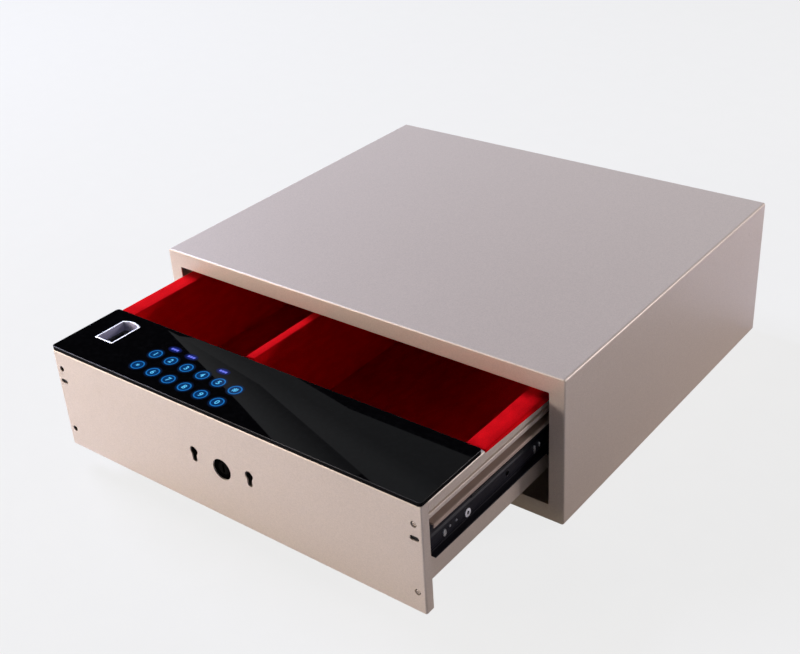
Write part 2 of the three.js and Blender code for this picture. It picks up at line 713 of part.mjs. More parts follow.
// Drawer tray: floor and sides of one bent sheet, with lips over the slides, and end walls
function makeDrawerTray() {
  const face = [
    [trayLipX, trayLipBottom],
    [trayLipX, trayTop],
    [trayInnerX, trayTop],
    [trayInnerX, trayFloor],
    [-trayInnerX, trayFloor],
    [-trayInnerX, trayTop],
    [-trayLipX, trayTop],
    [-trayLipX, trayLipBottom],
  ];
  const sideFrontY = frontY + TRAY_SIDE_SETBACK;
  const trough = extruded(bentSheet(face, TRAY_SHEET, TRAY_BEND), 'y', sideFrontY, trayBackY);
  const frontX = panelX - TRAY_FRONT_INSET;
  const apron = block([-frontX, frontX], [trayFrontY, sideFrontY + TRAY_SHEET], [trayBottom, trayFloor]);
  const frontWall = block(
    [-frontX, frontX],
    [trayFrontY, trayFrontY + TRAY_SHEET],
    [trayBottom, trayBottom + TRAY_FRONT_HEIGHT],
  );
  const backWall = block(
    [-trayX + TRAY_SHEET / 2, trayX - TRAY_SHEET / 2],
    [trayBackY - TRAY_SHEET, trayBackY],
    [trayBottom + TRAY_SHEET / 2, trayTop],
  );
  const depth = [trayFrontY - TRAY_SHEET, trayFrontY + 2 * TRAY_SHEET];
  const cylinderWay = rod('y', [KEY_HOLE_X, keyZ], CYLINDER_FLANGE / 2 + HANGER_MARGIN, ...depth);
  const hangerWays = [-1, 1].map((side) => {
    const x = KEY_HOLE_X + side * HANGER_SPACING / 2;
    const z = panelBottom + HANGER_HEIGHT - HANGER_DROP / 2;
    const width = HANGER_HEAD + 2 * HANGER_MARGIN;
    return extruded(uprightSlot([x, z], width, width + HANGER_DROP), 'y', ...depth);
  });
  const boltWays = [-1, 1].map((side) => rod(
    'z',
    [side * boltX, boltY],
    BUSH_RADIUS + SEAT / 2,
    trayBottom - TRAY_SHEET,
    trayFloor + TRAY_SHEET,
  ));
  return pierced(joined(trough, apron, frontWall, backWall), cylinderWay, ...hangerWays, ...boltWays);
}

// Outline of the fingerprint well, grown or shrunk all round, with its rounded rear end
function wellOutline(grow) {
  const half = WELL_WIDTH / 2 + grow;
  const near = frontY + WELL_SETBACK - grow;
  const far = frontY + WELL_SETBACK + WELL_LENGTH + grow;
  const radius = (half * half + WELL_BULGE * WELL_BULGE) / (2 * WELL_BULGE);
  const sweep = Math.asin(half / radius);
  const centre = [wellX, far + WELL_BULGE - radius];
  const rear = arc(centre, radius, Math.PI / 2 - sweep, Math.PI / 2 + sweep, 2 * CORNER_STEPS);
  return [[wellX - half, near], [wellX + half, near], ...rear];
}

// Battery grid: sketch places of the cells' middles
function cellCentres() {
  const lowZ = trayFloor + SEAT + HOLDER_WALL + CELL_PITCH / 2;
  return [0, 1].flatMap((row) => [-1, 1].map((side) =>
    [holderX + side * CELL_PITCH / 2, lowZ + row * CELL_PITCH]));
}

const holderHalf = CELL_PITCH + HOLDER_WALL;
const holderBottom = trayFloor + SEAT;
const holderTop = holderBottom + 2 * CELL_PITCH + 2 * HOLDER_WALL;
const partitionY = deckBackY - DECK_SHEET;
const holderBackY = partitionY - SEAT;
const doorwayX = [holderX - holderHalf + DOOR_OVERLAP, holderX + holderHalf - DOOR_OVERLAP];
const doorwayZ = [holderBottom + DOOR_OVERLAP, holderTop - DOOR_OVERLAP];

// Control deck: a plate with side skirts, a front flange and the partition behind the lock
function makeControlDeck() {
  const skirtBottom = panelTop - DECK_SKIRT;
  const section = [[panelX, skirtBottom], [panelX, panelTop], [-panelX, panelTop], [-panelX, skirtBottom]];
  const skirtFrontY = frontY + PANEL_RETURN + SEAT;
  const plate = extruded(bentSheet(section, DECK_SHEET, TRAY_BEND), 'y', skirtFrontY, deckBackY);
  const lipX = panelX - PANEL_SHEET - SEAT;
  const nose = block([-lipX, lipX], [trayFrontY, skirtFrontY + DECK_SHEET], [deckUnderZ, panelTop]);
  const flangeX = panelX - TRAY_FRONT_INSET;
  const flange = block(
    [-flangeX, flangeX],
    [trayFrontY, trayFrontY + DECK_SHEET],
    [panelTop - DECK_FRONT_FLANGE, panelTop],
  );
  const partitionX = trayInnerX - SEAT;
  const partition = extruded(
    [
      [-partitionX + TRAY_BEND, trayFloor + SEAT],
      [partitionX - TRAY_BEND, trayFloor + SEAT],
      [partitionX, trayFloor + SEAT + TRAY_BEND],
      [partitionX, panelTop],
      [-partitionX, panelTop],
      [-partitionX, trayFloor + SEAT + TRAY_BEND],
    ],
    'y',
    partitionY,
    deckBackY,
  );
  const doorway = block(doorwayX, [partitionY - DECK_SHEET, deckBackY + DECK_SHEET], doorwayZ);
  const boardX = TOUCH_BOARD_WIDTH / 2 + SEAT;
  const boardY = frontY + TOUCH_BOARD_SETBACK;
  const boardWay = block(
    [TOUCH_BOARD_X - boardX, TOUCH_BOARD_X + boardX],
    [boardY - SEAT, boardY + TOUCH_BOARD_DEPTH + SEAT],
    [deckUnderZ - DECK_SHEET, panelTop + DECK_SHEET],
  );
  const wellWay = extruded(wellOutline(2 * SEAT), 'z', deckUnderZ - DECK_SHEET, panelTop + DECK_SHEET);
  return pierced(joined(plate, nose, flange, partition), doorway, boardWay, wellWay);
}

function makeGlass() {
  const sheet = extruded(
    roundedRect([-panelX, panelX], [frontY, frontY + GLASS_DEPTH], GLASS_CORNER),
    'z',
    glassBottom,
    glassTop,
  );
  const past = GLASS_THICKNESS;
  const wellWay = extruded(wellOutline(SEAT), 'z', glassBottom - past, glassTop + past);
  return pierced(sheet, wellWay);
}

// Window outline with as many points as the well's, for the well's sloping sides
function windowOutline(grow) {
  const half = WINDOW_WIDTH / 2 + grow;
  const middle = frontY + WELL_SETBACK + WELL_LENGTH / 2;
  const near = middle - WINDOW_LENGTH / 2 - grow;
  const far = middle + WINDOW_LENGTH / 2 + grow;
  const steps = 2 * CORNER_STEPS;
  const rear = Array.from({ length: steps + 1 }, (_, i) => [wellX + half * (1 - 2 * i / steps), far]);
  return [[wellX - half, near], [wellX + half, near], ...rear];
}

const wellTop = glassTop + SEAT;
const windowZ = wellTop - WELL_DEPTH;

function makeWellBezel() {
  const bottom = wellTop - WELL_HEIGHT;
  const outer = extruded(wellOutline(0), 'z', bottom, wellTop);
  const scoop = lofted(windowOutline(0), windowZ, wellOutline(-WELL_RIM), wellTop + SEAT);
  const throat = extruded(windowOutline(0), 'z', bottom - SEAT, windowZ + SEAT);
  return pierced(outer, scoop, throat);
}

function makeSensor() {
  return extruded(windowOutline(-SEAT), 'z', windowZ - SEAT - SENSOR_HEIGHT, windowZ - SEAT);
}

// Touch board under the glass, with its driver chip below
function makeTouchBoard() {
  const half = TOUCH_BOARD_WIDTH / 2;
  const nearY = frontY + TOUCH_BOARD_SETBACK;
  const board = block(
    [TOUCH_BOARD_X - half, TOUCH_BOARD_X + half],
    [nearY, nearY + TOUCH_BOARD_DEPTH],
    [panelTop - BOARD_THICKNESS, panelTop],
  );
  const [chipWidth, chipDepth, chipHeight] = TOUCH_CHIP;
  const middleY = nearY + TOUCH_BOARD_DEPTH / 2;
  const chip = block(
    [TOUCH_BOARD_X - chipWidth / 2, TOUCH_BOARD_X + chipWidth / 2],
    [middleY - chipDepth / 2, middleY + chipDepth / 2],
    [panelTop - BOARD_THICKNESS - chipHeight, panelTop - BOARD_THICKNESS / 2],
  );
  return joined(board, chip);
}

// Control board on four standoffs, with its chip, sockets and a can capacitor
function makeControlBoard() {
  const half = CONTROL_WIDTH / 2;
  const nearY = frontY + CONTROL_SETBACK;
  const farY = nearY + CONTROL_DEPTH;
  const low = trayFloor + SEAT + STANDOFF_HEIGHT;
  const high = low + BOARD_THICKNESS;
  const board = block([controlX - half, controlX + half], [nearY, farY], [low, high]);
  const standoffs = [-1, 1].flatMap((side) => [nearY + STANDOFF_INSET, farY - STANDOFF_INSET].map((y) => {
    const centre = [controlX + side * (half - STANDOFF_INSET), y];
    return rod('z', centre, STANDOFF_RADIUS, trayFloor + SEAT, low + SEAT, ROUND_SIDES / 2);
  }));
  const centred = ([width, depth, height], y) => block(
    [controlX - width / 2, controlX + width / 2],
    [y - depth / 2, y + depth / 2],
    [low, high + height],
  );
  const chip = centred(CONTROL_CHIP, farY - CONTROL_DEPTH / 3);
  const socket = centred(LEAD_SOCKET, nearY + LEAD_SOCKET_EDGE);
  const capacitor = rod(
    'z',
    [controlX + half - CAPACITOR_EDGE / 2, nearY + CAPACITOR_EDGE],
    CAPACITOR_RADIUS,
    low,
    high + CAPACITOR_HEIGHT,
    ROUND_SIDES / 2,
  );
  return joined(board, ...standoffs, chip, socket, capacitor);
}

// Lining pieces: felt-covered boards, with a felt flange over the tray's edge
function makeSideLining() {
  const edgeX = trayLipX + LINING_OVERHANG;
  const section = [
    [liningInnerX, trayFloor + SEAT],
    [trayInnerX - SEAT - TRAY_BEND, trayFloor + SEAT],
    [trayInnerX - SEAT, trayFloor + SEAT + TRAY_BEND],
    [trayInnerX - SEAT, trayTop + SEAT],
    [trayLipX + SEAT, trayTop + SEAT],
    [trayLipX + SEAT, trayTop + SEAT - LINING_WRAP],
    [edgeX, trayTop + SEAT - LINING_WRAP],
    ...arc([edgeX - LINING_ROUND, liningTop - LINING_ROUND], LINING_ROUND, 0, Math.PI / 2, CORNER_STEPS),
    ...arc(
      [liningInnerX + LINING_ROUND, liningTop - LINING_ROUND],
      LINING_ROUND,
      Math.PI / 2,
      Math.PI,
      CORNER_STEPS,
    ),
  ];
  const backWallSpace = block(
    [liningInnerX - SEAT, trayX],
    [trayBackY - TRAY_SHEET - SEAT, trayBackY + SEAT],
    [trayBottom, trayTop + SEAT],
  );
  return pierced(extruded(section, 'y', deckBackY + SEAT, trayBackY), backWallSpace);
}

function makeBackLining() {
  const edgeY = trayBackY;
  const section = [
    [storageBackY, trayFloor + SEAT],
    [trayBackY - TRAY_SHEET - SEAT, trayFloor + SEAT],
    [trayBackY - TRAY_SHEET - SEAT, trayTop + SEAT],
    [edgeY, trayTop + SEAT],
    ...arc([edgeY - LINING_ROUND, liningTop - LINING_ROUND], LINING_ROUND, 0, Math.PI / 2, CORNER_STEPS),
    ...arc(
      [storageBackY + LINING_ROUND, liningTop - LINING_ROUND],
      LINING_ROUND,
      Math.PI / 2,
      Math.PI,
      CORNER_STEPS,
    ),
  ];
  return extruded(section, 'x', -liningInnerX + SEAT, liningInnerX - SEAT);
}

function makeFrontLining() {
  const x = liningInnerX - SEAT;
  const sheet = block(
    [-x, x],
    [deckBackY + SEAT, deckBackY + SEAT + LINING_FELT],
    [trayFloor + SEAT, panelTop],
  );
  const around = DOOR_OVERLAP + SEAT;
  const doorSpace = block(
    [doorwayX[0] - around, doorwayX[1] + around],
    [deckBackY, deckBackY + 2 * LINING_FELT],
    [doorwayZ[0] - around, doorwayZ[1] + around],
  );
  return pierced(sheet, doorSpace);
}

function makeFloorLining() {
  const x = liningInnerX - SEAT;
  const floor = trayFloor + SEAT;
  return block([-x, x], [storageFrontY, storageBackY - SEAT], [floor, floor + LINING_FELT]);
}

function makeDivider() {
  const floor = trayFloor + 2 * SEAT + LINING_FELT;
  const half = DIVIDER_THICKNESS / 2;
  const round = LINING_ROUND;
  const section = [
    [DIVIDER_X - half, floor],
    [DIVIDER_X + half, floor],
    ...arc([DIVIDER_X + half - round, liningTop - round], round, 0, Math.PI / 2, CORNER_STEPS),
    ...arc([DIVIDER_X - half + round, liningTop - round], round, Math.PI / 2, Math.PI, CORNER_STEPS),
  ];
  return extruded(section, 'y', storageFrontY, storageBackY - SEAT);
}

function addLining() {
  addPair(drawer, 'lining_side', makeSideLining(), RED_FELT);
  addPiece(drawer, 'lining_back', makeBackLining(), RED_FELT);
  addPiece(drawer, 'lining_front', makeFrontLining(), RED_FELT);
  addPiece(drawer, 'lining_floor', makeFloorLining(), RED_FELT);
  addPiece(drawer, 'compartment_divider', makeDivider(), RED_FELT);
}

// Batteries in a holder that opens through a door in the partition
function makeBatteryHolder() {
  const frontFaceY = holderBackY - RUN - CELL_LENGTH - CELL_NUB - HOLDER_WALL;
  const body = block(
    [holderX - holderHalf, holderX + holderHalf],
    [frontFaceY, holderBackY],
    [holderBottom, holderTop],
  );
  const bores = cellCentres().map((centre) =>
    rod('y', centre, CELL_RADIUS + RUN, frontFaceY + HOLDER_WALL, holderBackY + RUN));
  return pierced(body, ...bores);
}

function addBatteries() {
  addPiece(drawer, 'battery_holder', makeBatteryHolder(), BLACK_PLASTIC);
  const cellBackY = holderBackY - RUN;
  cellCentres().forEach((centre, i) => {
    const cellFrontY = cellBackY - CELL_LENGTH;
    const wrap = rod('y', centre, CELL_RADIUS, cellFrontY, cellBackY);
    const nub = rod('y', centre, CELL_NUB_RADIUS, cellFrontY - CELL_NUB, cellBackY, ROUND_SIDES / 2);
    addPiece(drawer, `battery_cell_${i + 1}`, joined(wrap, nub), CELL_WRAP);
  });
  const around = DOOR_OVERLAP - SEAT;
  const door = block(
    [doorwayX[0] - around, doorwayX[1] + around],
    [deckBackY + SEAT, deckBackY + SEAT + DOOR_THICKNESS],
    [doorwayZ[0] - around, doorwayZ[1] + around],
  );
  addPiece(drawer, 'battery_door', door, BLACK_PLASTIC);
}

// Bolt plate: a bar with slotted ears, and a rack arm each for the pinion and the key gear
function makeBoltPlate() {
  const depth = [plateFrontY, plateBackY];
  const endX = boltX + PLATE_END;
  const bar = block([-endX, endX], depth, [plateBottom, plateTop]);
  const ears = [-1, 1].map((side) => {
    const x = side * studX;
    const width = [x - EAR_WIDTH / 2, x + EAR_WIDTH / 2];
    return extruded(roundedRect(width, [plateBottom, slotTop + EAR_WALL], EAR_WALL), 'y', ...depth);
  });
  const slots = [-1, 1].map((side) => {
    const centre = [side * studX, (slotBottom + slotTop) / 2];
    const outline = uprightSlot(centre, 2 * (STUD_RADIUS + RUN), slotTop - slotBottom);
    return extruded(outline, 'y', plateFrontY - PLATE_THICKNESS, plateBackY + PLATE_THICKNESS);
  });
  const driveRack = makeRack(pinionRackX, pinionZ, 1, plateFrontY);
  const keyRack = makeRack(keyRackX, keyZ, -1, keyGearFrontY);
  return pierced(joined(bar, ...ears, driveRack, keyRack), ...slots);
}

// Rack arm: an upright strip with straight-sided teeth to one side, at a wheel's pitch line
function makeRack(pitchX, wheelZ, facing, nearY) {
  const slope = Math.tan(THREE.MathUtils.degToRad(PRESSURE_ANGLE));
  const tipHalf = toothPitch / 4 - BACKLASH / 2 - GEAR_MODULE * slope;
  const rootHalf = toothPitch / 4 - BACKLASH / 2 + 1.25 * GEAR_MODULE * slope;
  const tipX = pitchX + facing * GEAR_MODULE;
  const rootX = pitchX - facing * 1.25 * GEAR_MODULE;
  const armX = rootX - facing * RACK_ARM;
  const lowest = wheelZ - 2 * toothPitch;
  const teeth = Array.from({ length: RACK_TEETH }, (_, i) => {
    const z = lowest + i * toothPitch;
    return [[rootX, z - rootHalf], [tipX, z - tipHalf], [tipX, z + tipHalf], [rootX, z + rootHalf]];
  });
  const top = lowest + (RACK_TEETH - 0.5) * toothPitch;
  const outline = [
    [armX, plateBottom],
    [rootX, plateBottom],
    ...teeth.flat(),
    [rootX, top],
    [armX, top],
  ];
  return extruded(outline, 'y', nearY, plateBackY);
}

// Outline of a wheel with involute teeth and a gap between two of them at one angle
function wheelOutline([x, z], teeth, gapAngle) {
  const angle = THREE.MathUtils.degToRad(PRESSURE_ANGLE);
  const pitchRadius = GEAR_MODULE * teeth / 2;
  const baseRadius = pitchRadius * Math.cos(angle);
  const tipRadius = pitchRadius + GEAR_MODULE;
  const rootRadius = pitchRadius - 1.25 * GEAR_MODULE;
  const involute = (radius) => {
    const pressure = Math.acos(Math.min(1, baseRadius / radius));
    return Math.tan(pressure) - pressure;
  };
  const halfTooth = Math.PI / 2 / teeth - BACKLASH / 2 / pitchRadius + involute(pitchRadius);
  const flank = Array.from({ length: FLANK_STEPS + 1 }, (_, i) => {
    const radius = baseRadius + (tipRadius - baseRadius) * i / FLANK_STEPS;
    return [radius, halfTooth - involute(radius)];
  });
  const side = [[rootRadius, halfTooth], ...flank];
  return Array.from({ length: teeth }, (_, tooth) => {
    const middle = gapAngle + (tooth + 0.5) * 2 * Math.PI / teeth;
    const rising = side.map(([radius, half]) => [radius, middle - half]);
    const falling = side.map(([radius, half]) => [radius, middle + half]).reverse();
    return [...rising, ...falling].map(([radius, t]) => [x + radius * Math.cos(t), z + radius * Math.sin(t)]);
  }).flat();
}

// Pinion on its shaft, with a gap turned to its rack
function makePinion() {
  const outline = wheelOutline([pinionX, pinionZ], PINION_TEETH, Math.PI);
  const nearY = plateBackY + RUN - PINION_WIDTH;
  const gear = extruded(outline, 'y', nearY, plateBackY + RUN);
  const farY = framePlateBackY + SEAT + SHAFT_DEPTH;
  const shaft = rod('y', [pinionX, pinionZ], SHAFT_RADIUS, nearY, farY, SHAFT_SIDES);
  return joined(gear, shaft);
}

// Gear motor behind the lock frame, with a bore for the pinion's shaft
function makeGearMotor() {
  const [width, depth, height] = GEARBOX_SIZE;
  const nearY = framePlateBackY + SEAT;
  const box = block(
    [pinionX - width / 2, pinionX + width / 2],
    [nearY, nearY + depth],
    [pinionZ - height / 2, pinionZ + height / 2],
  );
  const motorY = nearY + depth / 2 + RUN;
  const endX = pinionX + width / 2 + MOTOR_LENGTH;
  const motor = rod('x', [motorY, pinionZ], MOTOR_RADIUS, pinionX, endX);
  const boreEndY = nearY + SHAFT_DEPTH + RUN;
  const bore = rod('y', [pinionX, pinionZ], SHAFT_RADIUS + RUN, nearY - RUN, boreEndY, SHAFT_SIDES);
  return pierced(joined(box, motor), bore);
}

// Lock frame: an angle bracket on the tray's floor that carries the studs and the motor
function makeLockFrame() {
  const half = boltX - FRAME_PLATE_INSET;
  const floor = trayFloor + SEAT;
  const face = [
    [framePlateY, floor + FRAME_PLATE_HEIGHT],
    [framePlateY, floor],
    [framePlateY + FRAME_PLATE_FOOT, floor],
  ];
  const bracket = extruded(bentSheet(face, FRAME_PLATE_SHEET, 1.5 * FRAME_PLATE_SHEET), 'x', -half, half);
  const shaftWay = rod(
    'y',
    [pinionX, pinionZ],
    SHAFT_RADIUS + 4 * RUN,
    framePlateY - RUN,
    framePlateBackY + RUN,
    SHAFT_SIDES,
  );
  return pierced(bracket, shaftWay);
}

// Shoulder stud that guides the bolt plate in its slot
function makeGuideStud() {
  const centre = [studX, studZ];
  const head = rod('y', centre, STUD_HEAD_RADIUS, plateFrontY - RUN - STUD_HEAD, plateFrontY - RUN);
  const shank = rod('y', centre, STUD_RADIUS, plateFrontY - RUN - STUD_HEAD / 2, framePlateY - SEAT);
  return joined(head, shank);
}

// Round bolt with a flat that lies against the back of the bolt plate
function makeBolt() {
  const pin = rod('z', [boltX, boltY], BOLT_RADIUS, boltTip, plateTop - SEAT);
  const flat = block(
    [boltX - 2 * BOLT_RADIUS, boltX + 2 * BOLT_RADIUS],
    [boltY - 2 * BOLT_RADIUS, plateBackY + SEAT],
    [plateBottom - RUN, plateTop + RUN],
  );
  return pierced(pin, flat);
}

// Bush in the tray's floor that guides a bolt
function makeBoltBush() {
  const centre = [boltX, boltY];
  const flangeTop = trayBottom - SEAT;
  const flange = rod('z', centre, BUSH_FLANGE_RADIUS, flangeTop - BUSH_FLANGE, flangeTop);
  const sleeve = rod('z', centre, BUSH_RADIUS - SEAT / 2, flangeTop - BUSH_FLANGE, trayFloor + BUSH_STAND);
  const past = [flangeTop - 2 * BUSH_FLANGE, trayFloor + 2 * BUSH_FLANGE];
  const bore = rod('z', centre, BOLT_RADIUS + RUN, ...past);
  return pierced(joined(flange, sleeve), bore);
}

// Key cylinder behind the panel's hole, its plug and the gear on the plug's tail
function makeCylinder() {
  const centre = [KEY_HOLE_X, keyZ];
  const flangeBackY = cylinderFrontY + CYLINDER_FLANGE_THICKNESS;
  const flange = rod('y', centre, CYLINDER_FLANGE / 2, cylinderFrontY, flangeBackY);
  const barrel = rod('y', centre, CYLINDER_DIAMETER / 2, cylinderFrontY, cylinderBackY);
  const bore = rod('y', centre, PLUG_DIAMETER / 2 + RUN, cylinderFrontY - RUN, cylinderBackY + RUN);
  return pierced(joined(flange, barrel), bore);
}

function makePlug() {
  const centre = [KEY_HOLE_X, keyZ];
  const body = rod('y', centre, PLUG_DIAMETER / 2, cylinderFrontY + RUN, cylinderBackY + 2 * RUN);
  const tailHalf = TAIL_SIZE / 2;
  const tail = block(
    [KEY_HOLE_X - tailHalf, KEY_HOLE_X + tailHalf],
    [cylinderBackY, keyGearBackY + RUN],
    [keyZ - tailHalf, keyZ + tailHalf],
  );
  const keyway = block(
    [KEY_HOLE_X - KEYWAY_WIDTH / 2, KEY_HOLE_X + KEYWAY_WIDTH / 2],
    [cylinderFrontY, cylinderFrontY + KEYWAY_DEPTH],
    [keyZ - KEYWAY_HEIGHT / 2, keyZ + KEYWAY_HEIGHT / 2],
  );
  return pierced(joined(body, tail), keyway);
}

function makeKeyGear() {
  const outline = wheelOutline([KEY_HOLE_X, keyZ], KEY_GEAR_TEETH, 0);
  const hole = TAIL_SIZE / 2 + SEAT;
  const eye = block(
    [KEY_HOLE_X - hole, KEY_HOLE_X + hole],
    [keyGearFrontY - RUN, keyGearBackY + RUN],
    [keyZ - hole, keyZ + hole],
  );
  return pierced(extruded(outline, 'y', keyGearFrontY, keyGearBackY), eye);
}

function addLock() {
  addPiece(drawer, 'lock_frame', makeLockFrame(), ZINC);
  addPiece(drawer, 'gear_motor', makeGearMotor(), BLACK_PLASTIC);
  addPiece(drawer, 'drive_pinion', makePinion(), BRASS);
  addPiece(drawer, 'bolt_plate', makeBoltPlate(), ZINC);
  addPair(drawer, 'lock_bolt', makeBolt(), CHROME);
  addPair(drawer, 'bolt_bush', makeBoltBush(), WHITE_NYLON);
  addPair(drawer, 'guide_stud', makeGuideStud(), ZINC);
  addPiece(drawer, 'key_cylinder', makeCylinder(), ZINC);
  addPiece(drawer, 'key_plug', makePlug(), BRASS);
  addPiece(drawer, 'key_gear', makeKeyGear(), ZINC);
}

function addControls() {
  addPiece(drawer, 'control_deck', makeControlDeck(), CHAMPAGNE);
  addPiece(drawer, 'glass_panel', makeGlass(), BLACK_GLASS);
  addPiece(drawer, 'fingerprint_bezel', makeWellBezel(), CHROME);
  addPiece(drawer, 'fingerprint_sensor', makeSensor(), BLACK_GLASS);
  addPiece(drawer, 'touch_board', makeTouchBoard(), GREEN_BOARD);
  addPiece(drawer, 'control_board', makeControlBoard(), GREEN_BOARD);
}

addPiece(caseGroup, 'case_shell', makeCaseShell(), CHAMPAGNE);
addPiece(caseGroup, 'back_panel', makeBackPanel(), CHAMPAGNE);
addPiece(caseGroup, 'lock_strike', makeStrike(), ZINC);
addSlides();
addPiece(drawer, 'front_panel', makeFrontPanel(), CHAMPAGNE);
addPiece(drawer, 'drawer_tray', makeDrawerTray(), CHAMPAGNE);
addControls();
addLining();
addBatteries();
addLock();

export default safe;
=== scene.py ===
"""Looks of the under desk drawer safe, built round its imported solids.

Sizes in the classes are millimetres in the part's own frame: +Z up, the drawer opens towards -Y,
and the origin is under the middle of the case. A finished mesh is in metres.
"""

import logging
import math
from dataclasses import dataclass
from enum import Enum
from functools import cached_property
from typing import Callable, Sequence

import bmesh
import bpy
from mathutils import Matrix, Vector, noise


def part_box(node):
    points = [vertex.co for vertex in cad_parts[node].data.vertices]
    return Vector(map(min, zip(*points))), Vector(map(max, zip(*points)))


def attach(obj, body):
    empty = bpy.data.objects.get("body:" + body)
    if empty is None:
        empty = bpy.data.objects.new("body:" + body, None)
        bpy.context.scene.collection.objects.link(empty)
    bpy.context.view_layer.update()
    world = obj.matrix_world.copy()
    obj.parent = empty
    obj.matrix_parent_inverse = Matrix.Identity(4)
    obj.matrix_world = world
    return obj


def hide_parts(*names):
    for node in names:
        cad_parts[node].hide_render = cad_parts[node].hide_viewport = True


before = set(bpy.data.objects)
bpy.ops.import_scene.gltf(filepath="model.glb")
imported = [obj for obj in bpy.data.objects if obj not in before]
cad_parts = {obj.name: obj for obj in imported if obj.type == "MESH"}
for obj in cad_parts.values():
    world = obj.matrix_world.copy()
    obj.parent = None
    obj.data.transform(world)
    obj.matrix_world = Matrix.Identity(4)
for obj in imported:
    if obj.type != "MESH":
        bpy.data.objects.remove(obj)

LOG = logging.getLogger("drawer_safe")
MM = 0.001
NEAR = 0.01
SIDES = ((1, "right"), (-1, "left"))
PHOTO_WIDTH = 800

Point = tuple[float, float]
Profile = tuple[Point, ...]
Color = tuple[float, float, float]
Place = tuple[float, float, float]
Corner = Sequence[float]
Test = Callable[[Vector, Vector], bool]
Socket = bpy.types.NodeSocket
Node = bpy.types.Node
Object = bpy.types.Object
Material = bpy.types.Material


class Body(Enum):
    """Bodies of the part that new pieces ride on."""

    CASE = "case"
    SLIDE_STAGE = "slide_stage"
    DRAWER = "drawer"


class Slot(Enum):
    """Material slots of the record."""

    PAINTED_STEEL = "painted_steel"
    ZINC_STEEL = "zinc_steel"
    BLACK_STEEL = "black_steel"
    BLACK_GLASS = "black_glass"
    CHROME = "chrome"
    CIRCUIT_BOARD = "circuit_board"
    WHITE_NYLON = "white_nylon"
    RED_FELT = "red_felt"
    BLACK_PLASTIC = "black_plastic"
    CELL_WRAP = "cell_wrap"
    BRASS = "brass"


class Axis(Enum):
    """Direction that an outline is pushed along; its sketch lies across it."""

    X = 0
    Y = 1
    Z = 2

    def place(self, a: float, b: float, depth: float) -> Vector:
        """Point of a sketch at a depth: (y, z) on X, (x, z) on Y and (x, y) on Z."""
        flat = (a, b)
        return Vector((*flat[: self.value], depth, *flat[self.value :]))

    def direction(self) -> Vector:
        """Unit vector along the axis."""
        return self.place(0, 0, 1)


def span(node: str) -> tuple[Vector, Vector]:
    """Lowest and highest corner of a CAD node at rest, in millimetres."""
    low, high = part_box(node)
    return Vector(low) / MM, Vector(high) / MM


def middle(node: str) -> Vector:
    """Middle of a CAD node's box, in millimetres."""
    return Vector([(a + b) / 2 for a, b in zip(*span(node))])


def along(axis: Axis) -> Test:
    """A test for edges that run along an axis."""
    return lambda mid, way: abs(way[axis.value]) > 0.9


def configured(made: object, **settings: object) -> object:
    """Set properties of a new node, modifier or other data.

    Args:
        made: What the properties belong to.
        settings: Their values by name.

    Returns:
        The same thing.
    """
    for key, value in settings.items():
        setattr(made, key, value)
    return made


# Materials


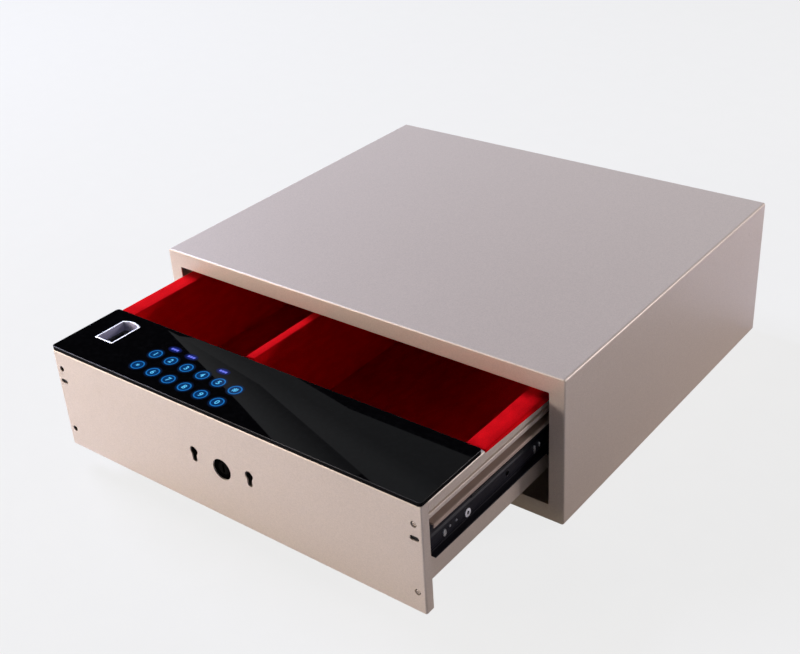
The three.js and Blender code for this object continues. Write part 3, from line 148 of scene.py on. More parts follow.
class Shader:
    """The nodes of one material or sky, and short ways to wire them."""

    def __init__(self, name: str, sky: bool = False) -> None:
        """Start an empty tree with its output.

        Args:
            name: Name of the material or sky.
            sky: Whether it is a sky.
        """
        self.owner = (bpy.data.worlds if sky else bpy.data.materials).new(name)
        self.owner.use_nodes = True
        self.tree = self.owner.node_tree
        self.tree.nodes.clear()
        self.output = self.node("ShaderNodeOutputWorld" if sky else "ShaderNodeOutputMaterial")

    @cached_property
    def place(self) -> Socket:
        """The piece's own coordinates."""
        return self.node("ShaderNodeTexCoord").outputs["Object"]

    def node(self, kind: str, **settings: object) -> Node:
        """Add a node and set its properties."""
        return configured(self.tree.nodes.new(kind), **settings)

    def wire(self, value: object, socket: Socket) -> None:
        """Feed one input.

        Args:
            value: A socket to link, or a value to set.
            socket: The input.
        """
        if isinstance(value, Socket):
            self.tree.links.new(value, socket)
        else:
            socket.default_value = value

    def feed(self, node: Node, **values: object) -> Node:
        """Feed inputs by name.

        Args:
            node: The node whose inputs are fed.
            values: Sockets or values, with blanks in the input names as underscores.

        Returns:
            The same node.
        """
        for key, value in values.items():
            self.wire(value, node.inputs[key.replace("_", " ")])
        return node

    def stretched(self, *scale: float) -> Socket:
        """The piece's coordinates, stretched for a pattern with a direction."""
        return self.feed(self.node("ShaderNodeMapping"), Vector=self.place, Scale=scale).outputs["Vector"]

    def noise(self, scale: float, detail: float = 2, place: Socket | None = None) -> Socket:
        """Soft noise with its grain size given as a scale per metre."""
        made = self.feed(self.node("ShaderNodeTexNoise"), Vector=place or self.place, Scale=scale)
        return self.feed(made, Detail=detail).outputs["Fac"]

    def spread(self, value: Socket, low: float, high: float, start: float = 0, end: float = 1) -> Socket:
        """Map a value between start and end to low and high."""
        made = self.feed(self.node("ShaderNodeMapRange"), Value=value, From_Min=start, From_Max=end)
        return self.feed(made, To_Min=low, To_Max=high).outputs["Result"]

    def blend(self, share: object, first: object, second: object) -> Socket:
        """Mix two colours.

        Args:
            share: Share of the second, as a number or socket.
            first: Colour or socket.
            second: Colour or socket.

        Returns:
            The mixed colour.
        """
        made = self.node("ShaderNodeMix", data_type="RGBA")
        for value, key in ((share, 0), (first, 6), (second, 7)):
            self.wire((*value, 1) if isinstance(value, tuple) else value, made.inputs[key])
        return made.outputs[2]

    def math(self, operation: str, first: object, second: object) -> Socket:
        """Join two values.

        Args:
            operation: Blender's name of the sum.
            first: Number or socket.
            second: Number or socket.

        Returns:
            The result.
        """
        made = self.node("ShaderNodeMath", operation=operation)
        self.wire(first, made.inputs[0])
        self.wire(second, made.inputs[1])
        return made.outputs[0]

    def bump(self, height: Socket, strength: float, depth: float) -> Socket:
        """Bump normals from a height, with its depth in millimetres."""
        made = self.feed(self.node("ShaderNodeBump"), Height=height, Strength=strength, Distance=depth * MM)
        return made.outputs["Normal"]

    def close(self, last: Node) -> Material | bpy.types.World:
        """End the tree with a shader."""
        self.tree.links.new(last.outputs[0], self.output.inputs["Surface"])
        return self.owner

    def surface(self, **values: object) -> Material:
        """End the tree with one principled surface."""
        return self.close(self.feed(self.node("ShaderNodeBsdfPrincipled"), **values))

    def mixed(self, share: Socket, first: Node, second: Node) -> Material | bpy.types.World:
        """End the tree with a mix of two shaders.

        Args:
            share: Share of the second.
            first: Shader at no share.
            second: Shader at full share.

        Returns:
            The material or sky.
        """
        mix = self.node("ShaderNodeMixShader")
        for source, socket in zip((share, first.outputs[0], second.outputs[0]), mix.inputs):
            self.tree.links.new(source, socket)
        return self.close(mix)


@dataclass(frozen=True)
class Finish:
    """A finish with a base colour (linear) and the record's slot that it belongs to."""

    name: str
    slot: Slot
    color: Color

    def tinted(self, share: float) -> Color:
        """The base colour made darker or lighter."""
        return tuple(min(1, c * share) for c in self.color)

    def build(self) -> Material:
        """Make the material."""
        raise NotImplementedError

    def material(self) -> Material:
        """The material, made at its first use."""
        return bpy.data.materials.get(self.name) or self.build()


@dataclass(frozen=True)
class FlakePaint(Finish):
    """Satin powder coat with fine metal flakes and a faint orange peel."""

    roughness: float = 0.4
    unevenness: float = 0.06
    metallic: float = 0.2
    flake_size: float = 0.8
    flake_tint: float = 0.09
    cloud_scale: float = 9
    cloud_levels: Point = (0.35, 0.65)
    cloud_share: float = 0.35
    peel_scale: float = 700
    peel: Point = (0.12, 0.05)

    def build(self) -> Material:
        """Make the paint: flakes vary its colour and gloss, and soft noise its thickness.

        Returns:
            The material.
        """
        shader = Shader(self.name)
        cells = shader.node("ShaderNodeTexVoronoi")
        shader.feed(cells, Vector=shader.place, Scale=1 / (self.flake_size * MM))
        flakes = shader.feed(shader.node("ShaderNodeSeparateColor"), Color=cells.outputs["Color"]).outputs
        dark, light = self.tinted(1 - self.flake_tint), self.tinted(1 + self.flake_tint)
        cloud = shader.spread(shader.noise(self.cloud_scale, 3), *self.cloud_levels)
        speckle, soft = shader.blend(flakes["Red"], dark, light), shader.blend(cloud, dark, light)
        rough = (self.roughness - self.unevenness, self.roughness + self.unevenness)
        return shader.surface(
            Base_Color=shader.blend(self.cloud_share, speckle, soft),
            Metallic=self.metallic,
            Roughness=shader.spread(flakes["Green"], *rough),
            Normal=shader.bump(shader.noise(self.peel_scale), *self.peel),
        )


@dataclass(frozen=True)
class Felt(Finish):
    """Short-napped felt: matted fibres that vary its colour and stand up as fuzz."""

    fibre: float = 0.5
    nap: float = 7
    shades: Point = (0.72, 1.22)
    fuzz: Point = (0.5, 0.35)
    sheen: Color = (1.0, 0.05, 0.06)

    def build(self) -> Material:
        """Make the felt from fine fibre noise and broad strokes of the nap.

        Returns:
            The material.
        """
        shader = Shader(self.name)
        fibres = shader.noise(1 / (self.fibre * MM), 6)
        strokes = shader.noise(1 / (self.nap * MM), 3, shader.stretched(1, 0.35, 1))
        parts = shader.spread(fibres, 0, 0.7, 0.3, 0.7), shader.spread(strokes, 0, 0.3, 0.3, 0.7)
        dark, light = (self.tinted(shade) for shade in self.shades)
        return shader.surface(
            Base_Color=shader.blend(shader.math("ADD", *parts), dark, light),
            Roughness=0.95,
            Specular_IOR_Level=0.02,
            Sheen_Weight=0.12,
            Sheen_Roughness=0.5,
            Sheen_Tint=(*self.sheen, 1),
            Normal=shader.bump(fibres, *self.fuzz),
        )


@dataclass(frozen=True)
class Metal(Finish):
    """Drawn or plated metal with fine lines along the drawer's travel."""

    roughness: float = 0.28
    streak: float = 0.5
    metallic: float = 1.0
    variation: float = 0.1
    gloss: float = 0.5

    def build(self) -> Material:
        """Make the metal with stretched noise in its gloss and colour.

        Returns:
            The material.
        """
        shader = Shader(self.name)
        lines = shader.noise(1 / (self.streak * MM), 3, shader.stretched(1, 0.04, 1))
        dark, light = self.tinted(1 - self.variation), self.tinted(1 + self.variation)
        return shader.surface(
            Base_Color=shader.blend(shader.noise(60), dark, light),
            Metallic=self.metallic,
            Specular_IOR_Level=self.gloss,
            Roughness=shader.spread(lines, self.roughness - 0.07, self.roughness + 0.09, 0.3, 0.7),
            Normal=shader.bump(lines, 0.15, 0.02),
        )


@dataclass(frozen=True)
class Moulded(Finish):
    """Moulded plastic, nylon or shrink wrap with a fine spark texture."""

    roughness: float = 0.5
    texture: float = 0.2
    gloss: float = 0.5
    grain: float = 0.4
    shades: Point = (0.88, 1.1)

    def build(self) -> Material:
        """Make the plastic with a grainy surface and slight cloudiness.

        Returns:
            The material.
        """
        shader = Shader(self.name)
        grain = shader.noise(1 / (self.grain * MM), 3)
        dark, light = (self.tinted(shade) for shade in self.shades)
        return shader.surface(
            Base_Color=shader.blend(shader.noise(120), dark, light),
            Specular_IOR_Level=self.gloss,
            Roughness=shader.spread(grain, self.roughness - 0.05, self.roughness + 0.05, 0.3, 0.7),
            Normal=shader.bump(grain, self.texture, 0.05),
        )


@dataclass(frozen=True)
class Glass(Finish):
    """Black-backed glass: a polished face over an opaque print, with a trace of dust."""

    roughness: float = 0.008
    dusty_roughness: float = 0.02
    reflection: float = 0.3
    dust: float = 0.0016

    def build(self) -> Material:
        """Make the glass as a dark dielectric with a barely uneven polish.

        Returns:
            The material.
        """
        shader = Shader(self.name)
        dust = shader.noise(260, 4)
        dusty = tuple(c + self.dust for c in self.color)
        return shader.surface(
            Base_Color=shader.blend(shader.spread(dust, 0, 1, 0.45, 0.75), self.color, dusty),
            Roughness=shader.spread(dust, self.roughness, self.dusty_roughness, 0.4, 0.8),
            Specular_IOR_Level=self.reflection,
        )


@dataclass(frozen=True)
class Board(Finish):
    """Printed circuit board: solder mask over a net of tracks."""

    def build(self) -> Material:
        """Make the board with raised tracks along cell edges.

        Returns:
            The material.
        """
        shader = Shader(self.name)
        edges = shader.node("ShaderNodeTexVoronoi", feature="DISTANCE_TO_EDGE")
        shader.feed(edges, Vector=shader.stretched(1, 1, 0.01), Scale=260, Randomness=0.5)
        tracks = shader.spread(edges.outputs["Distance"], 1, 0, 0.04, 0.09)
        return shader.surface(
            Base_Color=shader.blend(tracks, self.color, self.tinted(1.9)),
            Roughness=0.32,
            Normal=shader.bump(tracks, 0.3, 0.04),
        )


@dataclass(frozen=True)
class Lamp(Finish):
    """Lit print behind the glass; the piece's own glow value fades it from its middle to its edge."""

    edge: Color = (0, 0, 0)

    def build(self) -> Material:
        """Make the glow from the piece's glow attribute.

        Returns:
            The material.
        """
        shader = Shader(self.name)
        glow = shader.node("ShaderNodeAttribute", attribute_name="glow").outputs["Fac"]
        return shader.surface(
            Base_Color=(0.002, 0.002, 0.003, 1),
            Roughness=0.05,
            Specular_IOR_Level=0.2,
            Emission_Color=shader.blend(glow, self.edge, self.color),
            Emission_Strength=1.0,
        )


CHAMPAGNE = FlakePaint("champagne_powder_coat", Slot.PAINTED_STEEL, (0.56, 0.48, 0.41))
RED_FELT = Felt("red_felt_cover", Slot.RED_FELT, (0.69, 0.002, 0.006))
BLACK_COAT = Metal("black_slide_coat", Slot.BLACK_STEEL, (0.0075, 0.007, 0.0105), 0.42, 0.6, 0.0, 0.3, 0.13)
TRACK_STEEL = Metal("bare_track_steel", Slot.BLACK_STEEL, (0.38, 0.29, 0.24), 0.6, 0.6, 0.1, 0.1, 0.3)
ZINC = Metal("bright_zinc", Slot.ZINC_STEEL, (0.55, 0.56, 0.58))
NICKEL = Metal("nickel_plating", Slot.ZINC_STEEL, (0.8, 0.8, 0.83), 0.4, 0.9, 0.3, 0.05)
DULL_ZINC = Metal("dull_zinc", Slot.ZINC_STEEL, (0.16, 0.16, 0.17), 0.5, 0.9, 0.3, 0.1)
# Near-black zinc is painted shade: it makes the screw sockets, the inserts behind the front holes and the
# key cylinder read as dark holes.
SHADE_BLACK_ZINC = Metal("zinc_painted_shade_black", Slot.ZINC_STEEL, (0.0016, 0.0015, 0.0016), 0.7, 0.5, 0.0, 0.3, 0.0)
SATIN_CHROME = Metal("satin_chrome", Slot.CHROME, (0.86, 0.86, 0.92), 0.3, 0.9, 1.0, 0.03)
# A darker, lilac copy of the plating is painted shade on the fingerprint well's sides.
SHADED_PLATING = Metal("plating_painted_shade", Slot.CHROME, (0.36, 0.35, 0.45), 0.42, 1.5, 0.4, 0.08)
BRASS = Metal("turned_brass", Slot.BRASS, (0.7, 0.52, 0.25), 0.25)
# Near-black brass is painted shade on the key plug deep in the lock hole.
SHADE_BLACK_BRASS = Metal("brass_painted_shade_black", Slot.BRASS, (0.0026, 0.0023, 0.002), 0.6, 0.5, 0.0, 0.2, 0.01)
BLACK_PLASTIC = Moulded("black_moulding", Slot.BLACK_PLASTIC, (0.008, 0.008, 0.009), 0.5, 0.2, 0.25)
WHITE_NYLON = Moulded("white_nylon_moulding", Slot.WHITE_NYLON, (0.75, 0.74, 0.69), 0.45)
CELL_WRAP = Moulded("cell_shrink_wrap", Slot.CELL_WRAP, (0.05, 0.055, 0.065), 0.3, 0.05)
BLACK_GLASS = Glass("black_backed_glass", Slot.BLACK_GLASS, (0.0016, 0.0015, 0.0017))
GLASS_EDGE = Moulded("blackened_glass_edge", Slot.BLACK_GLASS, (0.0022, 0.002, 0.002), 0.55, 0.1, 0.03)
SOLDER_MASK = Board("solder_mask", Slot.CIRCUIT_BOARD, (0.02, 0.1, 0.04))
KEY_RING = Lamp("key_ring_light", Slot.BLACK_GLASS, (0.02, 0.27, 0.72), (0.01, 0.16, 0.5))
KEY_DIGIT = Lamp("key_digit_light", Slot.BLACK_GLASS, (0.12, 0.6, 1.0), (0.12, 0.6, 1.0))
KEY_HALO = Lamp("key_halo_light", Slot.BLACK_GLASS, (0.002, 0.055, 0.22), (0.001, 0.0015, 0.004))
MARK = Lamp("indicator_light", Slot.BLACK_GLASS, (0.16, 0.2, 0.9), (0.16, 0.2, 0.9))
MARK_HALO = Lamp("indicator_halo", Slot.BLACK_GLASS, (0.012, 0.03, 0.3), (0.001, 0.0015, 0.004))


# Meshes


def placing(centre: Corner, out: Corner) -> Matrix:
    """Placing of something made along Z, which points outwards from a centre."""
    turn = Vector((0, 0, 1)).rotation_difference(Vector(out)).to_matrix().to_4x4()
    return Matrix.Translation(Vector(centre)) @ turn


class Shape:
    """A mesh under construction, in millimetres. Its methods return the shape itself."""

    def __init__(self) -> None:
        """Start empty."""
        self.bm = bmesh.new()

    def box(self, low: Corner, high: Corner) -> "Shape":
        """Add a box between two corners.

        Args:
            low: Lowest corner.
            high: Highest corner.

        Returns:
            The shape.
        """
        size, centre = Vector(high) - Vector(low), (Vector(high) + Vector(low)) / 2
        place = Matrix.Translation(centre) @ Matrix.Diagonal((*size, 1))
        bmesh.ops.create_cube(self.bm, size=1, matrix=place)
        return self

    def bar(self, half: float, y: Point, z: Point) -> "Shape":
        """Add a box that reaches equally far to both sides."""
        return self.box((-half, y[0], z[0]), (half, y[1], z[1]))

    def rod(
        self, axis: Axis, centre: Point, radius: float, start: float, end: float, sides: int = 32
    ) -> "Shape":
        """Add a round rod.

        Args:
            axis: Direction of the rod.
            centre: Sketch place of its middle line.
            radius: Its radius.
            start: First coordinate along the axis.
            end: Last coordinate along the axis.
            sides: Number of faces round it.

        Returns:
            The shape.
        """
        place = placing(axis.place(*centre, (start + end) / 2), axis.direction())
        ends = {"radius1": radius, "radius2": radius, "depth": end - start}
        bmesh.ops.create_cone(self.bm, cap_ends=True, segments=sides, matrix=place, **ends)
        return self

    def pushed(self, grown: list[bmesh.types.BMVert], way: Vector) -> list[bmesh.types.BMVert]:
        """Move the points among newly grown elements.

        Args:
            grown: The new elements.
            way: How far they go.

        Returns:
            The points.
        """
        moved = [item for item in grown if isinstance(item, bmesh.types.BMVert)]
        bmesh.ops.translate(self.bm, vec=way, verts=moved)
        return moved

    def prism(self, axis: Axis, outline: Sequence[Point], start: float, end: float) -> "Shape":
        """Add a closed outline pushed along an axis.

        Args:
            axis: Direction of the push.
            outline: Its sketch points.
            start: First coordinate along the axis.
            end: Last coordinate along the axis.

        Returns:
            The shape.
        """
        verts = [self.bm.verts.new(axis.place(a, b, start)) for a, b in outline]
        grown = bmesh.ops.extrude_face_region(self.bm, geom=[self.bm.faces.new(verts)])["geom"]
        moved = self.pushed(grown, axis.direction() * (end - start))
        faces = {face for vert in verts + moved for face in vert.link_faces}
        bmesh.ops.recalc_face_normals(self.bm, faces=list(faces))
        return self

    def strip(
        self, line: Sequence[Point], y: Point, bends: Sequence[float], out: int, steps: int = 5
    ) -> "Shape":
        """Add an open sheet folded along Y, with rounded bends.

        Args:
            line: Sketch points (x, z) of the sheet's face.
            y: Where it starts and ends.
            bends: Radius at each inner point of the line, or one for all of them.
            out: Sign of the X direction that the line's first face looks in.
            steps: Number of faces round each bend.

        Returns:
            The shape.
        """
        verts = [self.bm.verts.new((a, y[0], b)) for a, b in line]
        edges = [self.bm.edges.new(pair) for pair in zip(verts, verts[1:])]
        grown = bmesh.ops.extrude_edge_only(self.bm, edges=edges)["geom"]
        moved = self.pushed(grown, Vector((0, y[1] - y[0], 0)))
        faces = [item for item in grown if isinstance(item, bmesh.types.BMFace)]
        self.bm.normal_update()
        first = min(faces, key=lambda face: (face.calc_center_median() - verts[0].co).length)
        if first.normal.x * out < 0:
            bmesh.ops.reverse_faces(self.bm, faces=faces)
        creases = [next(e for e in v.link_edges if e.other_vert(v) in moved) for v in verts[1:-1]]
        radii = list(bends) if len(bends) > 1 else list(bends) * len(creases)
        for radius in sorted(set(radii)):
            self.bevel([e for e, r in zip(creases, radii) if r == radius], radius, steps)
        return self

    def bevel(self, edges: Sequence[bmesh.types.BMEdge], width: float, steps: int) -> "Shape":
        """Round edges.

        Args:
            edges: The edges, if any.
            width: How far the rounding reaches.
            steps: Number of faces across it.

        Returns:
            The shape.
        """
        if edges:
            kind = {"affect": "EDGES", "offset_type": "OFFSET", "profile": 0.5, "material": -1}
            size = {"offset": width, "segments": steps, "clamp_overlap": True}
            bmesh.ops.bevel(self.bm, geom=list(edges), **kind, **size)
        return self

    def round_edges(self, chosen: Test, width: float, steps: int = 4) -> "Shape":
        """Round the edges that a test picks.

        Args:
            chosen: Test of an edge's middle and direction.
            width: How far the rounding reaches.
            steps: Number of faces across it.

        Returns:
            The shape.
        """
        picked = []
        for edge in self.bm.edges:
            first, second = (v.co for v in edge.verts)
            if chosen((first + second) / 2, (second - first).normalized()):
                picked.append(edge)
        return self.bevel(picked, width, steps)

    def turned(self, profile: Sequence[Point], centre: Corner, out: Corner, sides: int) -> "Shape":
        """Add a turned piece.

        Args:
            profile: Points of radius and height, spun round the height.
            centre: Where the height starts.
            out: Direction of the height.
            sides: Number of faces round it.

        Returns:
            The shape.
        """
        others = set(self.bm.verts)
        verts = [self.bm.verts.new((radius, 0, height)) for radius, height in profile]
        edges = [self.bm.edges.new(pair) for pair in zip(verts, verts[1:])]
        turn = {"cent": (0, 0, 0), "axis": (0, 0, 1), "angle": 2 * math.pi}
        bmesh.ops.spin(self.bm, geom=verts + edges, steps=sides, use_merge=True, **turn)
        bmesh.ops.remove_doubles(self.bm, verts=[v for v in self.bm.verts if v not in others], dist=0.0005)
        own = [v for v in self.bm.verts if v not in others]
        bmesh.ops.recalc_face_normals(self.bm, faces=list({face for v in own for face in v.link_faces}))
        bmesh.ops.transform(self.bm, matrix=placing(centre, out), verts=own)
        return self

    def on_side(self, side: int) -> "Shape":
        """Turn a right-hand shape over if it belongs on the left.

        Args:
            side: 1 for right, -1 for left.

        Returns:
            The shape.
        """
        if side < 0:
            bmesh.ops.scale(self.bm, vec=(-1, 1, 1), verts=self.bm.verts[:])
            bmesh.ops.reverse_faces(self.bm, faces=self.bm.faces[:])
        return self

    def to_mesh(self, name: str) -> bpy.types.Mesh:
        """Scale to metres and write the mesh, which uses the shape up.

        Args:
            name: Name of the mesh.

        Returns:
            The mesh.
        """
        bmesh.ops.scale(self.bm, vec=(MM, MM, MM), verts=self.bm.verts[:])
        mesh = bpy.data.meshes.new(name)
        self.bm.to_mesh(mesh)
        self.bm.free()
        return mesh


def through(axis: Axis, node: str, gap: float, start: float, end: float) -> Shape:
    """Box with a CAD node's outline as seen along an axis.

    Args:
        axis: Direction of the look.
        node: Name of the node.
        gap: How far the outline stands off the node, below 0 for inside it.
        start: First coordinate along the axis.
        end: Last coordinate along the axis.

    Returns:
        The box.
    """
    low, high = span(node)
    low, high = [value - gap for value in low], [value + gap for value in high]
    low[axis.value], high[axis.value] = start, end
    return Shape().box(low, high)


def bulged(centre: float, half: float, y: Point, bulge: float, steps: int = 12) -> list[Point]:
    """Outline of a rectangle whose rear end is a bow.

    Args:
        centre: X of its middle.
        half: Half its width.
        y: Its near and far end.
        bulge: How far the bow stands proud.
        steps: Number of edges along the bow.

    Returns:
        The sketch points.
    """
    shares = [1 - 2 * i / steps for i in range(steps + 1)]
    rear = [(centre + half * share, y[1] + bulge * math.cos(share * math.pi / 2)) for share in shares]
    return [(centre - half, y[0]), (centre + half, y[0]), *rear]


def cross(centre: Point, reach: float, half: float) -> list[Point]:
    """Outline of a cross recess.

    Args:
        centre: Its middle.
        reach: How far its arms reach.
        half: Half their width.

    Returns:
        The sketch points.
    """
    outline = []
    for c, s in ((1, 0), (0, 1), (-1, 0), (0, -1)):
        for a, b in ((reach, -half), (reach, half), (half, half)):
            outline.append((centre[0] + c * a - s * b, centre[1] + s * a + c * b))
    return outline


def show(data: bpy.types.ID, name: str) -> Object:
    """Put a mesh, light or other data in the scene.

    Args:
        data: What is shown.
        name: Name of the object.

    Returns:
        The object.
    """
    obj = bpy.data.objects.new(name, data)
    bpy.context.scene.collection.objects.link(obj)
    return obj


def evaluated(obj: Object) -> bpy.types.Mesh:
    """The mesh of an object with its modifiers in it."""
    graph = bpy.context.evaluated_depsgraph_get()
    return bpy.data.meshes.new_from_object(obj.evaluated_get(graph))


def fixed(obj: Object) -> None:
    """Fix an object's modifiers into its mesh.

    Args:
        obj: The object.
    """
    mesh = evaluated(obj)
    obj.modifiers.clear()
    obj.data = mesh


def modify(obj: Object, kind: str, **settings: object) -> None:
    """Add a modifier and set its properties."""
    configured(obj.modifiers.new(kind.lower(), kind), **settings)


def finished(obj: Object, finish: Finish, body: Body, replaced: Sequence[str] = ()) -> Object:
    """Give a piece its material and body, and hide the CAD nodes that it stands for.

    Args:
        obj: The piece.
        finish: Its finish.
        body: The body that it rides on.
        replaced: CAD nodes that it stands for.

    Returns:
        The piece.
    """
    obj.data.materials.clear()
    obj.data.materials.append(finish.material())
    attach(obj, body.value)
    if replaced:
        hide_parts(*replaced)
    LOG.info("%s: %d faces on %s", obj.name, len(obj.data.polygons), body.value)
    return obj


@dataclass
class Piece:
    """How a shape becomes a piece: its name, finish and body, its sheet, cuts and soft edges."""

    name: str
    finish: Finish
    nodes: Sequence[str] = ()
    body: Body = Body.DRAWER
    sheet: float = 0
    cuts: Sequence[Shape] = ()
    keep: Sequence[Shape] = ()
    edge: float = 0.2
    edge_steps: int = 2
    smooth: float = 40

    def build(self, shape: Shape) -> Object:
        """Build the piece, with no modifier left on it.

        Args:
            shape: The raw shape, which is used up.

        Returns:
            The finished piece.
        """
        obj = show(shape.to_mesh(self.name), self.name)
        if self.sheet:
            modify(obj, "SOLIDIFY", thickness=self.sheet * MM, offset=-1, use_even_offset=True)
        tools = []
        for shapes, operation in ((self.cuts, "DIFFERENCE"), (self.keep, "INTERSECT")):
            for other in shapes:
                tools.append(show(other.to_mesh("tool"), "tool"))
                modify(obj, "BOOLEAN", operation=operation, solver="EXACT", object=tools[-1])
        if self.edge:
            size = {"width": self.edge * MM, "segments": self.edge_steps, "use_clamp_overlap": False}
            modify(obj, "BEVEL", limit_method="ANGLE", angle_limit=math.radians(38), **size)
        fixed(obj)
        for tool in tools:
            bpy.data.objects.remove(tool, do_unlink=True)
        smoothed(obj.data)
        obj.data.set_sharp_from_angle(angle=math.radians(self.smooth))
        modify(obj, "WEIGHTED_NORMAL", keep_sharp=True)
        fixed(obj)
        return finished(obj, self.finish, self.body, self.nodes)


def smoothed(mesh: bpy.types.Mesh) -> None:
    """Shade a mesh smooth."""
    mesh.polygons.foreach_set("use_smooth", [True] * len(mesh.polygons))


def turned_pieces(
    piece: Piece, profile: Sequence[Point], places: Sequence[tuple[Corner, Corner]], sides: int = 24
) -> None:
    """Build one piece of equal turned parts, such as rivets.

    Args:
        piece: How it is finished, with its edges left as turned.
        profile: Points of radius and height.
        places: Centre and outward direction of each part.
        sides: Number of faces round each.
    """
    parts = Shape()
    for centre, out in places:
        parts.turned(profile, centre, out, sides)
    piece.edge = 0
    piece.build(parts)


def dressed(finish: Finish, *nodes: str) -> None:
    """Give CAD nodes whose shape stays a finish.

    Args:
        finish: The finish.
        nodes: Names of the nodes.
    """
    for name in nodes:
        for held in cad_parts[name].material_slots:
            held.material = finish.material()
        LOG.info("%s: CAD shape in %s", name, finish.name)


# Sub-assemblies


@dataclass
class CaseBody:
    """Bent and welded case with the frame round its opening, and what is fixed in it."""

    sheet: float = 1.5
    long_round: float = 2.4
    front_round: float = 1.4
    inner_round: float = 1.2
    opening_round: float = 1.0
    frame_side: float = 14.7
    frame_top: float = 16.7
    frame_bottom: float = 16.5
    fixing_hole: float = 8.5
    fixing_x: float = 150
    fixing_y: float = 120
    welds: Profile = ((-8, 106), (-5, 67), (122, 75), (159, 125))
    weld_profile: Profile = ((0, 0.12), (1.76, 0.12), (2.2, -0.1))
    rivet_x: tuple[float, ...] = (-190, -95, 0, 95, 190)
    rivet_z: Point = (8, 131)
    rivet_profile: Profile = ((0, 1.1), (1.2, 0.95), (2.2, 0.45), (2.6, -0.1))

    def build(self) -> None:
        """Build the shell with its weld marks and rivets, and dress the pieces inside."""
        self.build_shell()
        side_x, back_y = span("case_shell")[1].x, span("back_panel")[1].y
        marks = [((side * side_x, *place), (side, 0, 0)) for side in (-1, 1) for place in self.welds]
        turned_pieces(Piece("case_weld_marks", CHAMPAGNE, body=Body.CASE), self.weld_profile, marks, 20)
        rivets = [((x, back_y, z), (0, 1, 0)) for x in self.rivet_x for z in self.rivet_z]
        turned_pieces(Piece("back_panel_rivets", ZINC, body=Body.CASE), self.rivet_profile, rivets, 20)
        dressed(CHAMPAGNE, "back_panel")
        dressed(ZINC, "lock_strike", "slide_spacer_right", "slide_spacer_left")

    def build_shell(self) -> None:
        """Shell: a rounded box, hollow, open at the back and through the front frame."""
        low, high = span("case_shell")
        t = self.sheet
        shell = Shape().box(low, high).round_edges(along(Axis.Y), self.long_round, 6)
        shell.round_edges(lambda mid, way: mid.y < low.y + NEAR and abs(way.y) < 0.5, self.front_round, 5)
        hollow = Shape().box((low.x + t, low.y + t, low.z + t), (high.x - t, high.y + t, high.z - t))
        opening = Shape().box(
            (low.x + self.frame_side, low.y - t, low.z + self.frame_bottom),
            (high.x - self.frame_side, low.y + 2 * t, high.z - self.frame_top),
        )
        hollow.round_edges(along(Axis.Y), self.inner_round)
        opening.round_edges(along(Axis.Y), self.opening_round)
        holes = Shape()
        for x in (-self.fixing_x, self.fixing_x):
            for y in (-self.fixing_y, self.fixing_y):
                holes.rod(Axis.Z, (x, y), self.fixing_hole / 2, -t, 2 * t)
        cuts = (hollow, opening, holes)
        Piece("case_body_shell", CHAMPAGNE, ("case_shell",), Body.CASE, cuts=cuts, edge=0.3).build(shell)


